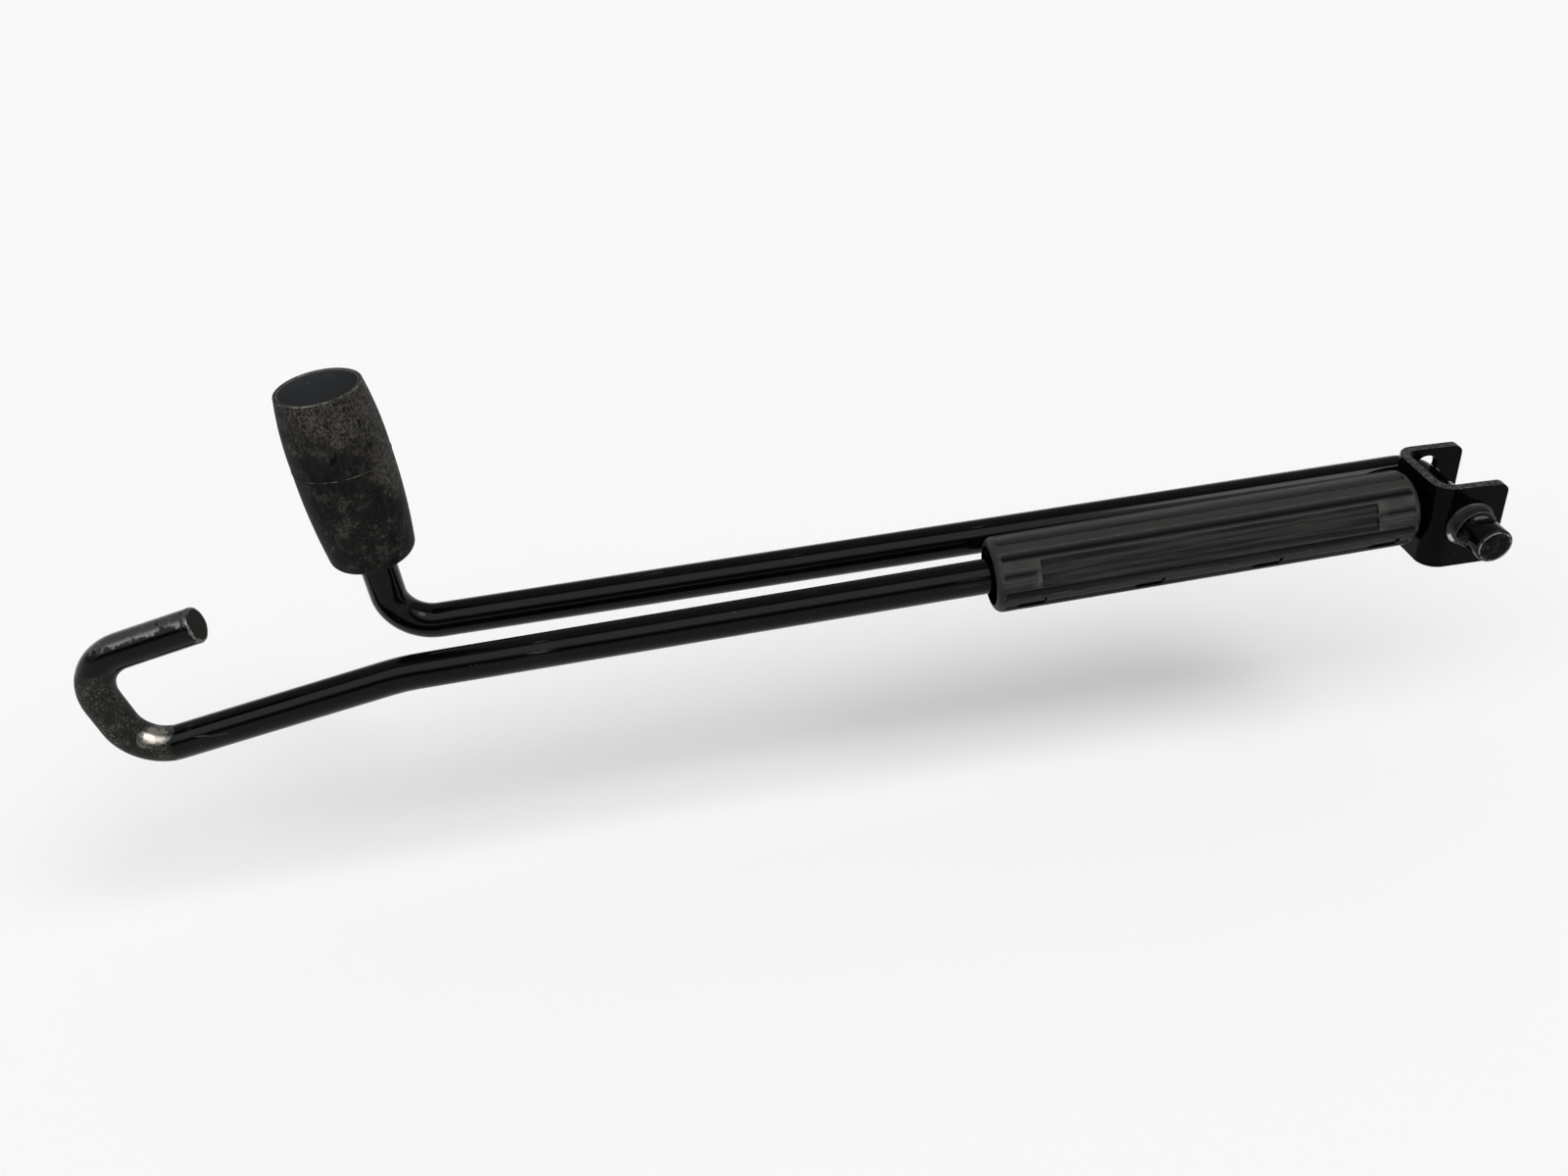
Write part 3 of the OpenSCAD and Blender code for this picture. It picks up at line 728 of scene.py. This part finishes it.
def carved(bm, cutters, bevel):
    """The bmesh with its cutters taken out and its edges rounded."""
    work = stand("work", made_mesh(bm, "work"))
    tools = [stand("cutter", made_mesh(cutter, "cutter")) for cutter in cutters]
    for tool in tools:
        cut = work.modifiers.new("cut", "BOOLEAN")
        cut.operation = "DIFFERENCE"
        cut.solver = "EXACT"
        cut.object = tool
    rounding = work.modifiers.new("round", "BEVEL")
    rounding.width = bevel
    rounding.segments = BEVEL_STEPS
    rounding.limit_method = "ANGLE"
    rounding.angle_limit = ROUND_FROM
    bpy.context.view_layer.update()
    solid = work.evaluated_get(bpy.context.evaluated_depsgraph_get())
    result = bmesh.new()
    result.from_mesh(solid.to_mesh())
    solid.to_mesh_clear()
    for holder in [work] + tools:
        mesh = holder.data
        bpy.data.objects.remove(holder)
        bpy.data.meshes.remove(mesh)
    return result


def drill(centre, axis, radius, length):
    """A closed cylinder about a centre, as a cutter."""
    bm = bmesh.new()
    bmesh.ops.create_cone(
        bm, cap_ends=True, segments=HOLE_SIDES, radius1=radius, radius2=radius, depth=length,
        matrix=facing(centre, axis))
    return bm


# %% Build the clevis
EAR_X = 8.7 * MM
FOLD_R = 4.8 * MM
WEB_TOP = 10.6 * MM
EAR_TOP = 9.7 * MM
WEB_BOTTOM = 12.4 * MM
EAR_BOTTOM = 12.9 * MM
EAR_CORNER_R = 2.4 * MM
PIN_BORE_R = 4.58 * MM
RELIEF_R = 3 * MM
RELIEF_AT = Vector((-0.6, 0, 5.1)) * MM
RIVET_BORE_R = 3.35 * MM
PLATE_ROUND = 0.3 * MM
SHEET_FROM = -16 * MM
SHEET_TO = 14 * MM


def folded_strip():
    """The clevis's outer face: ear, fold, web, fold, ear."""
    bm = bmesh.new()
    at = PIVOT + Vector((EAR_X, -EAR_OUT, 0))
    ends = [bm.verts.new(at + Vector((0, 0, z))) for z in (SHEET_FROM, SHEET_TO)]
    strip = Drawn(bm, [bm.edges.new(ends)], at, (-1, 0, 0))
    ear = EAR_X + WEB_X - FOLD_R
    strip.push(ear, 2).bend(FOLD_R, 90, ACROSS).push(2 * (EAR_OUT - FOLD_R), 2)
    strip.bend(FOLD_R, 90, (1, 0, 0)).push(ear, 2)
    return bm


def trim(bm, side, web, ear):
    """Cuts the strip along a line that slopes from the web to the ears, above or below the pivot."""
    slope = (ear - web) / (EAR_X + WEB_X)
    bmesh.ops.bisect_plane(
        bm, geom=bm.verts[:] + bm.edges[:] + bm.faces[:], plane_co=PIVOT + Vector((-WEB_X, 0, side * web)),
        plane_no=Vector((-slope, 0, side)), clear_outer=True)


def build_clevis():
    """The folded strip, trimmed, thickened, drilled and rounded."""
    bm = folded_strip()
    trim(bm, 1, WEB_TOP, EAR_TOP)
    trim(bm, -1, WEB_BOTTOM, EAR_BOTTOM)
    corners = [vert for vert in bm.verts if vert.co.x > PIVOT.x + EAR_X - 1e-6]
    bmesh.ops.bevel(bm, geom=corners, offset=EAR_CORNER_R, offset_type="OFFSET", segments=8, profile=0.5,
                    affect="VERTICES", material=-1)
    bmesh.ops.recalc_face_normals(bm, faces=bm.faces)
    bmesh.ops.solidify(bm, geom=bm.faces[:], thickness=PLATE_T)
    bmesh.ops.recalc_face_normals(bm, faces=bm.faces)
    rear = PIVOT + ACROSS * EAR_OUT + RELIEF_AT
    cutters = [drill(PIVOT, ACROSS, PIN_BORE_R, 4 * EAR_OUT), drill(rear, ACROSS, RELIEF_R, EAR_OUT),
               drill(PIVOT - Vector((WEB_X, 0, 0)), (1, 0, 0), RIVET_BORE_R, 3 * PLATE_T)]
    spans = zip(*((vert.co - PIVOT) / MM for vert in bm.verts))
    print("clevis spans", [(round(min(span), 2), round(max(span), 2)) for span in spans])
    clevis_bm = carved(bm, cutters, PLATE_ROUND)
    clevis_bm.normal_update()
    for face in clevis_bm.faces:
        at_end = face.calc_center_median().x - PIVOT.x > EAR_X - EAR_CORNER_R and abs(face.normal.y) < 0.5
        face.material_index = 1 if abs(face.normal.z) > 0.6 or at_end else 0
    return clevis_bm


clevis = finish_piece("clevis", build_clevis(), "frame", "hinge_bracket", [CLEVIS_ENAMEL, CUT_EDGE])
# Weighted normals keep the large flats flat beside the small rounded edges.
clevis.modifiers.new("flat faces", "WEIGHTED_NORMAL").keep_sharp = True

# %% [markdown]
# ## Grip
# The grip is two half shells that snap together along the bar. Each is a curved wall: a line of
# vertices spun part of the way round, pushed along the grip, given its thickness, and then moved out
# or in by a short rule for the radius at that place. The rule holds what a mould maker would draw:
# grooves with sloped sides, a long flat on the front, and rounded ends.

# %% Sizes of the grip
GRIP_R = 9.6
GRIP_LEN = 107.3
GRIP_LEFT = -118.0
GRIP_END_R = 2.0
CAVITY_R = 7.3
MOUTH_R = 5.6
MOUTH_LEN = 2.4
RIB_BORE_R = 4.6
GROOVE_AT = 27
GROOVE_EVERY = 30
GROOVE_HALF_W = 1.3
GROOVE_DEPTH = 0.75
GROOVE_END = 1.4
GROOVE_RAMP = 0.7
FLAT_FROM, FLAT_TO = 11.0, 96.0
FLAT_DIST = 8.85
FLAT_ANGLE = 24.5
SEAM = -48
WINDOW_ANGLES = (-38, -17)
TAB_LEN = 7.0
TAB_STARTS = [5.1 + i * 30.0333 for i in range(4)]
RIBS = [(2.4, 4.4), (22.62, 24.62), (49.75, 51.75), (55.55, 57.55), (82.68, 84.68), (102.9, 104.9)]
LINES_FROM = 5
LINE_LANDS = ((LINES_FROM, 19), (36, 50))
LINE_PITCH = 14 / 3
LINE_HALF_H = 0.07
LINES_CLEAR = 2.5
FLAT_CLEAR = 0.3
SEAM_EDGE = 0.12
FLAT_HALF = 30


# %% Places on the grip and its radius rules
def grip_point(z, angle, radius):
    """A point at z along the grip, an angle up from the front, and a radius, all in mm and degrees."""
    a = math.radians(angle)
    return PIVOT + Vector((GRIP_LEFT + z, -math.cos(a) * radius, math.sin(a) * radius)) * MM


def grip_place(co, least):
    """The z and angle of a point, with the angle counted from least upwards."""
    p = (co - PIVOT) / MM
    angle = math.degrees(math.atan2(p.z, -p.y))
    while angle < least - 0.5:
        angle += 360
    return p.x - GRIP_LEFT, angle


def fine_lines(z, angle):
    """Small ridges on the lands beside the flat, past its two ends."""
    beside = any(low <= angle <= high for low, high in LINE_LANDS)
    by_flat = FLAT_FROM - FLAT_CLEAR < z < FLAT_TO + FLAT_CLEAR
    if not beside or by_flat or min(z, GRIP_LEN - z) < LINES_CLEAR:
        return 0.0
    return LINE_HALF_H * (1 - math.cos(2 * math.pi * (angle - LINES_FROM) / LINE_PITCH))


def groove_depth(z, angle):
    """How deep a place lies in its groove, from 0 on the land to 1 at the bottom."""
    off = (angle - GROOVE_AT + GROOVE_EVERY / 2) % GROOVE_EVERY - GROOVE_EVERY / 2
    across = abs(math.radians(off)) * GRIP_R
    ramp = max(0.0, min(1.0, (min(z, GRIP_LEN - z) - GROOVE_END) / GROOVE_RAMP))
    return ramp * max(0.0, 1 - across / GROOVE_HALF_W)


def on_flat(z, angle):
    """Whether a place lies on the flat."""
    off = angle - FLAT_ANGLE
    return (FLAT_FROM < z < FLAT_TO and abs(off) < FLAT_HALF
            and GRIP_R * math.cos(math.radians(off)) > FLAT_DIST)


def outer_radius(z, angle):
    """The grip's outside: a cylinder less its grooves, flat, fine lines, seam edges and rounded ends."""
    radius = GRIP_R - GROOVE_DEPTH * groove_depth(z, angle)
    if FLAT_FROM < z < FLAT_TO and abs(angle - FLAT_ANGLE) < FLAT_HALF:
        radius = min(radius, FLAT_DIST / math.cos(math.radians(angle - FLAT_ANGLE)))
    radius -= fine_lines(z, angle)
    seam = abs((angle - SEAM + 90) % 180 - 90)
    radius -= SEAM_EDGE * max(0.0, 1 - seam)
    from_end = min(z, GRIP_LEN - z)
    if from_end < GRIP_END_R:
        radius -= GRIP_END_R - math.sqrt(max(0.0, GRIP_END_R ** 2 - (GRIP_END_R - from_end) ** 2))
    return radius


def inner_radius(z, angle):
    """The grip's inside: an open mouth, ribs that bear on the bar, and the cavity between."""
    if z < MOUTH_LEN - 0.01 or z > GRIP_LEN - MOUTH_LEN + 0.01:
        return MOUTH_R
    if any(low - 0.01 <= z <= high + 0.01 for low, high in RIBS):
        return RIB_BORE_R
    return CAVITY_R


# %% A curved wall on the grip's axis
def curved_wall(start, spans, stations, outer, inner, opening=None):
    """A closed wall round the grip's axis.

    spans are (degrees, steps) from the start angle; opening says which faces to leave out."""
    bm = bmesh.new()
    last = bm.verts.new(grip_point(stations[0], start, GRIP_R))
    for degrees, steps in spans:
        spun = bmesh.ops.spin(
            bm, geom=[last], cent=PIVOT, axis=(-1, 0, 0), angle=math.radians(degrees), steps=steps)
        last = only(VERT, spun["geom_last"])[0]
    wall = Drawn(bm, bm.edges[:], grip_point(stations[0], 0, 0), (1, 0, 0))
    for here, there in zip(stations, stations[1:]):
        wall.push((there - here) * MM)
    if opening:
        open_faces = [face for face in bm.faces if opening(*grip_place(face.calc_center_median(), start))]
        bmesh.ops.delete(bm, geom=open_faces, context="FACES")
    grown = bmesh.ops.extrude_face_region(
        bm, geom=bm.verts[:] + bm.edges[:] + bm.faces[:], use_keep_orig=True)
    inside = set(only(VERT, grown["geom"]))
    matt_and_shade = mask_on(bm, "matt_and_shade")
    rub_and_sheen = mask_on(bm, "rub_and_sheen")
    for vert in bm.verts:
        z, angle = grip_place(vert.co, start)
        vert.co = grip_point(z, angle, inner(z, angle) if vert in inside else outer(z, angle))
        if not on_flat(z, angle):
            # Painted shade: the deeper in a groove, the darker the dull mask makes the grip.
            vert[matt_and_shade] = min(1.0, 1.3 * groove_depth(z, angle))
            # Dust and painted sheen: the grip is made lighter towards its top, where the light from above falls.
            vert[rub_and_sheen] = fade(abs(angle - 85), 50, 95) if vert not in inside else 0.0
    return bm


# %% Stations along the grip
def grip_stations():
    """Places along the grip where something starts or ends, with even steps between."""
    ends = [0, 0.08, 0.25, 0.5, 0.8, 1.15, 1.4, 1.75, 2.1, MOUTH_LEN - 0.02]
    marks = ends + [GRIP_LEN - z for z in ends]
    marks += [z + d for z in (FLAT_FROM, FLAT_TO) for d in (-0.05, 0.05)]
    marks += [z for start in TAB_STARTS for z in (start, start + TAB_LEN)]
    marks += [z for rib in RIBS for z in (rib[0] - 0.03, rib[0], rib[1], rib[1] + 0.03)]
    marks = sorted(set(round(z, 3) for z in marks))
    filled = [marks[0]]
    for z in marks[1:]:
        parts = max(1, math.ceil((z - filled[-1]) / 4.0))
        step = (z - filled[-1]) / parts
        filled += [filled[-1] + step * (i + 1) for i in range(parts)]
    return filled


STATIONS = grip_stations()
print("stations along the grip:", len(STATIONS))


# %% Build the two shells
def in_window(z, angle):
    """Whether a place lies in one of the snap windows."""
    low, high = WINDOW_ANGLES
    return low < angle < high and any(start < z < start + TAB_LEN for start in TAB_STARTS)


# The front shell has the flat and the windows.
FRONT_SPANS = [(10, 10), (21, 21), (17, 17), (52, 104), (80, 80)]
front_bm = curved_wall(SEAM, FRONT_SPANS, STATIONS, outer_radius, inner_radius, in_window)

TAB_IN_R = 6.5
TAB_OUT_R = 8.0
TAB_FROM = SEAM - 8
TAB_GAP = 0.15
CATCH_R = GRIP_R - GROOVE_DEPTH
CATCH_ANGLES = (-36.79, -19.36)
TAB_SPANS = [(19.2, 10), (0.05, 1), (17.4, 12), (0.05, 1), (1.1, 1)]


def build_back_shell():
    """The shell behind, with its snap tabs that fill the windows in front."""
    bm = curved_wall(SEAM + 180, [(180, 180)], STATIONS, outer_radius, inner_radius)

    def tab_outer(z, angle):
        return CATCH_R if CATCH_ANGLES[0] < angle < CATCH_ANGLES[1] else TAB_OUT_R

    for start in TAB_STARTS:
        along = [start + TAB_GAP, start + TAB_LEN / 2, start + TAB_LEN - TAB_GAP]
        tab = curved_wall(TAB_FROM, TAB_SPANS, along, tab_outer, lambda z, angle: TAB_IN_R)
        mesh = made_mesh(tab, "tab")
        bm.from_mesh(mesh)
        bpy.data.meshes.remove(mesh)
    return bm


GRIP_SHARP = math.radians(17)
finish_piece("grip_front", front_bm, "grip", "grip_front_shell", [GRIP_PLASTIC], GRIP_SHARP)
finish_piece("grip_back", build_back_shell(), "grip", "grip_back_shell", [GRIP_PLASTIC], GRIP_SHARP)

# %% [markdown]
# ## Turned pieces
# The collar, the washer and the knob are round about one axis, so each is a profile that is spun once
# round. The profile is a closed line of points as on a lathe drawing, radius and height.


# %% A profile spun round an axis
def turned(profile, base, axis, steps):
    """A closed profile of (radius, height) points in millimetres, spun round an axis from a base point."""
    bm = bmesh.new()
    axis = Vector(axis).normalized()
    side = axis.orthogonal().normalized()
    verts = [bm.verts.new(base + side * (r * MM) + axis * (z * MM)) for r, z in profile]
    edges = [bm.edges.new((verts[i - 1], verts[i])) for i in range(len(verts))]
    bmesh.ops.spin(
        bm, geom=verts + edges, cent=base, axis=axis, angle=2 * math.pi, steps=steps, use_merge=True)
    return bm


def arc(centre, radius, start, end, count):
    """Points of an arc in a profile, between two angles in degrees."""
    angles = [math.radians(start + (end - start) * i / count) for i in range(count + 1)]
    return [(centre[0] + radius * math.cos(a), centre[1] + radius * math.sin(a)) for a in angles]


def crown(r0, z0, r1, z1, bulge, count):
    """Points of a slightly crowned line from one place to another, without its last point."""
    shares = [i / count for i in range(count)]
    return [(r0 + (r1 - r0) * t + bulge * 4 * t * (1 - t), z0 + (z1 - z0) * t) for t in shares]


# %% Collar
COLLAR_LEN = 3.4
COLLAR_RIM_R = 5.9
COLLAR_FRONT_R = 5.1
COLLAR_HIGHLIGHT_R = 5.0 * MM
COLLAR_HIGHLIGHT_SIDE = -146
BORE_R = 4.58
SIDE_GAP = 0.3


def build_collar():
    """A matt bush in front of the clevis: a thin rim at the back, a rounded nose and a painted highlight."""
    profile = [(BORE_R, 0.0), (COLLAR_RIM_R - 0.15, 0.0), (COLLAR_RIM_R, 0.15), (COLLAR_RIM_R, 0.65)]
    profile += [(COLLAR_RIM_R - 0.12, 0.8), (COLLAR_FRONT_R + 0.1, 0.95), (COLLAR_FRONT_R, 1.1)]
    profile += arc((COLLAR_FRONT_R - 0.4, COLLAR_LEN - 0.4), 0.4, 0, 90, 5)
    profile += [(BORE_R, COLLAR_LEN)]
    base = PIVOT - ACROSS * (EAR_OUT + SIDE_GAP * MM)
    bm = turned(profile, base, -ACROSS, 96)
    # Painted highlight: the rear rim's outer edge is painted as bright bare metal at its lower left, where the
    # light catches it.
    rub_and_sheen = mask_on(bm, "rub_and_sheen")
    for vert in bm.verts:
        reach = vert.co - base
        inward = COLLAR_HIGHLIGHT_R - math.hypot(reach.x, reach.z)
        on_rim = fade(-reach.y, 1.0 * MM, 1.3 * MM) * fade(inward, 0, 0.3 * MM)
        side = math.degrees(math.atan2(reach.z, reach.x))
        vert[rub_and_sheen] = 1.2 * on_rim * fade(abs(side - COLLAR_HIGHLIGHT_SIDE), 8, 24)
    return bm


finish_piece("collar_bush", build_collar(), "crank", "pivot_collar", [DULL_STEEL])

# %% [markdown]
# ## Knob
# The knob is moulded in two crowned halves that meet at the waist, where a thin flash line runs round.
# Its top is hollow down to a washer, and the wall thins to about a millimetre at the rim. Nobody's hand
# rubs the hollow, so its wall keeps the smooth sheen of the mould and has a finish of its own, whose
# colour is painted much lighter than the knob's to stand for the light that falls inside.

# %% Sizes of the knob
KNOB_START = 22.0
KNOB_LEN = 45.38
KNOB_MID = 27.0
KNOB_FOOT_R = 10.37
KNOB_MID_R = 11.62
KNOB_RIM_R = 9.98
KNOB_FOOT_ROUND = 2.4
RIM_WALL = 1.0
HOLLOW_FLOOR = KNOB_LEN - 23.4
HOLLOW_FLOOR_R = 8.0
POCKET_R = 6.8
POCKET_H = 3.8
LEG_LIFT = 44.7 * MM
CROWN = 0.45
FLASH = 0.12
# Dust lies near the rim; toward the front right the rim is painted lighter still, as painted light.
RIM_DUST_AND_LIGHT_SIDE = -50
WAIST_DUST_SIDE = -15
KNOB_BASE = LEG_POINT + LEG_UP * (KNOB_START * MM - LEG_LIFT)


# %% Build the knob
def knob_profile():
    """The outline from the bore's foot round the outside, over the rim and down the hollow."""
    seat = KNOB_MID_R - FLASH
    points = [(BORE_R, POCKET_H), (POCKET_R, POCKET_H), (POCKET_R, 0.25), (POCKET_R + 0.25, 0.0)]
    points += arc((KNOB_FOOT_R - KNOB_FOOT_ROUND, KNOB_FOOT_ROUND), KNOB_FOOT_ROUND, -90, 0, 10)[:-1]
    points += crown(KNOB_FOOT_R, KNOB_FOOT_ROUND, seat, KNOB_MID - 0.1, CROWN, 14)
    points += [(seat, KNOB_MID - 0.1), (KNOB_MID_R, KNOB_MID - 0.04), (KNOB_MID_R, KNOB_MID + 0.04)]
    points += crown(seat, KNOB_MID + 0.1, KNOB_RIM_R, KNOB_LEN - 0.35, CROWN, 12)
    points += arc((KNOB_RIM_R - 0.35, KNOB_LEN - 0.35), 0.35, 0, 90, 4)
    points += arc((KNOB_RIM_R - RIM_WALL + 0.3, KNOB_LEN - 0.3), 0.3, 90, 180, 4)
    points += [(HOLLOW_FLOOR_R + 0.12, HOLLOW_FLOOR + 0.5)]
    points += arc((HOLLOW_FLOOR_R - 0.4, HOLLOW_FLOOR + 0.5), 0.5, 0, -90, 4)
    points += [(BORE_R, HOLLOW_FLOOR)]
    return points


def build_knob():
    """The turned knob, its hollow marked for the second material."""
    bm = turned(knob_profile(), KNOB_BASE, LEG_UP, 128)
    bmesh.ops.recalc_face_normals(bm, faces=bm.faces)
    rub_and_sheen = mask_on(bm, "rub_and_sheen")
    for vert in bm.verts:
        reach = vert.co - KNOB_BASE
        height = reach.dot(LEG_UP) / MM
        side = math.degrees(math.atan2(reach.y, reach.x))
        # Dust and painted light: blotches rise near the rim, most toward the front right, where the light falls.
        to_side = 0.45 + 0.55 * fade(abs(side - RIM_DUST_AND_LIGHT_SIDE), 20, 80)
        near_rim = 0.9 * fade(KNOB_LEN - height, 2, 17) * to_side
        at_waist = 0.7 * fade(abs(height - KNOB_MID), 3, 9) * fade(abs(side - WAIST_DUST_SIDE), 10, 35)
        vert[rub_and_sheen] = max(near_rim, at_waist)
    for face in bm.faces:
        reach = face.calc_center_median() - KNOB_BASE
        height = reach.dot(LEG_UP)
        outward = (reach - LEG_UP * height).normalized()
        on_wall = height > (HOLLOW_FLOOR - 0.1) * MM and face.normal.dot(outward) < -0.2
        on_floor = height < (HOLLOW_FLOOR + 0.6) * MM and face.normal.dot(LEG_UP) > 0.6
        face.material_index = 1 if on_wall or on_floor else 0
    return bm


finish_piece("turning_knob", build_knob(), "knob", "crank_knob", [KNOB_PLASTIC, HOLLOW_PAINTED_LIGHT])

# %% Washer on the hollow's floor
WASHER_R = 7.0
WASHER_T = 1.0
WASHER_EDGE = 0.12


def build_washer():
    """A plain washer on the floor of the knob's hollow."""
    rim, top = WASHER_R - WASHER_EDGE, WASHER_T - WASHER_EDGE
    profile = [(BORE_R, 0.0), (rim, 0.0), (WASHER_R, WASHER_EDGE), (WASHER_R, top),
               (rim, WASHER_T), (BORE_R + WASHER_EDGE, WASHER_T), (BORE_R, top)]
    return turned(profile, KNOB_BASE + LEG_UP * ((HOLLOW_FLOOR + SIDE_GAP) * MM), LEG_UP, 96)


finish_piece("stop_washer", build_washer(), "crank", "knob_washer", [DULL_STEEL])

# %% [markdown]
# ## Floor, light and camera
# The handle is shown over a pale floor under a soft sky. The floor lies as low as the knob comes when
# the arm is swung right over, so it serves every pose. Gloss black needs something to reflect: two
# broad bands over the handle, with a darker gap between them, give each bar its pale lines, and the dim
# sky in front keeps the middle black. A weak, broad sun gives shape to the rest.

# %% Floor
FLOOR_GAP = 1 * MM
FLOOR_SIZE = 30.0
lowest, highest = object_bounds()
low = min(lowest[2], 2 * PIVOT.z - highest[2]) - FLOOR_GAP
bm = bmesh.new()
bmesh.ops.create_grid(bm, x_segments=1, y_segments=1, size=FLOOR_SIZE / 2)
bmesh.ops.translate(bm, vec=(0, 0, low), verts=bm.verts)
floor = stand("floor", made_mesh(bm, "floor"))
material = bpy.data.materials.new("pale_floor")
material.use_nodes = True
shader = material.node_tree.nodes["Principled BSDF"]
shader.inputs["Base Color"].default_value = (0.88, 0.88, 0.88, 1)
shader.inputs["Roughness"].default_value = 0.9
shader.inputs["Specular IOR Level"].default_value = 0.0
floor.data.materials.append(material)
print("floor at", round(low / MM, 2), "mm")

# %% Sky
BAND_TOP = 2.7
BANDS = [(0, 0.08), (30, 0.10), (43, BAND_TOP), (78, BAND_TOP), (85, 0.22), (92, 0.22), (99, 0.5),
         (150, 0.42), (180, 0.35)]
SKY_STRENGTH = 0.795
SKY_SIDE = 0.55
SIDE_FADE = (0.75, 0.95)
HORIZON = 1.18
HORIZON_FADE = (0.10, 0.26)
world = bpy.data.worlds.new("studio_sky")
bpy.context.scene.world = world
world.use_nodes = True
tree = world.node_tree
view = add_node(tree, "TexCoord").outputs["Generated"]
split = add_node(tree, "SeparateXYZ", Vector=view)
towards = times(tree, split.outputs["Y"], -1.0)
angle = maths(tree, "DIVIDE", maths(tree, "ARCTAN2", split.outputs["Z"], towards), math.pi)
ramp = add_node(tree, "ValToRGB", Fac=angle)
stops = ramp.color_ramp.elements
for _ in BANDS[2:]:
    stops.new(0.5)
for stop, (degrees, level) in zip(stops, BANDS):
    stop.position = degrees / 180
    stop.color = (level / BAND_TOP,) * 3 + (1,)
aside = between(tree, maths(tree, "ABSOLUTE", split.outputs["X"], 0.0), *SIDE_FADE)
sky = mixed(tree, aside, ramp.outputs["Color"], (SKY_SIDE / BAND_TOP,) * 3)
low = maths(tree, "SUBTRACT", 1.0, between(tree, split.outputs["Z"], *HORIZON_FADE))
background = tree.nodes["Background"]
tree.links.new(mixed(tree, low, sky, (HORIZON / BAND_TOP,) * 3), background.inputs["Color"])
background.inputs["Strength"].default_value = BAND_TOP * SKY_STRENGTH

# %% A soft sun for shape and shadow
SUN_TOWARDS = Vector((-0.5, 0.36, -0.79))
light = bpy.data.lights.new("soft_sun", "SUN")
light.energy = 0.75
light.angle = math.radians(24)
sun = stand("soft_sun", light)
sun.rotation_euler = SUN_TOWARDS.to_track_quat("-Z", "Y").to_euler()

# %% The camera at the photograph's place
CAMERA_AT = Vector((125.35, -255.00, 160.85)) * MM
CAMERA_SEES = Vector((138.78, 29.02, -37.50)) * MM
CAMERA_ROLL = math.radians(-7.90)
data = bpy.data.cameras.new("camera")
data.sensor_width = 36
data.lens = 29.01
data.clip_start = 0.01
camera = stand("camera", data)
aim = (CAMERA_SEES - CAMERA_AT).to_track_quat("-Z", "Y").to_matrix()
roll = Matrix.Rotation(CAMERA_ROLL, 3, "Z")
camera.matrix_world = Matrix.Translation(CAMERA_AT) @ (aim @ roll).to_4x4()
bpy.context.scene.camera = camera
bpy.context.scene.view_settings.view_transform = "Standard"
print("camera at", CAMERA_AT[:], "sun towards", SUN_TOWARDS[:])
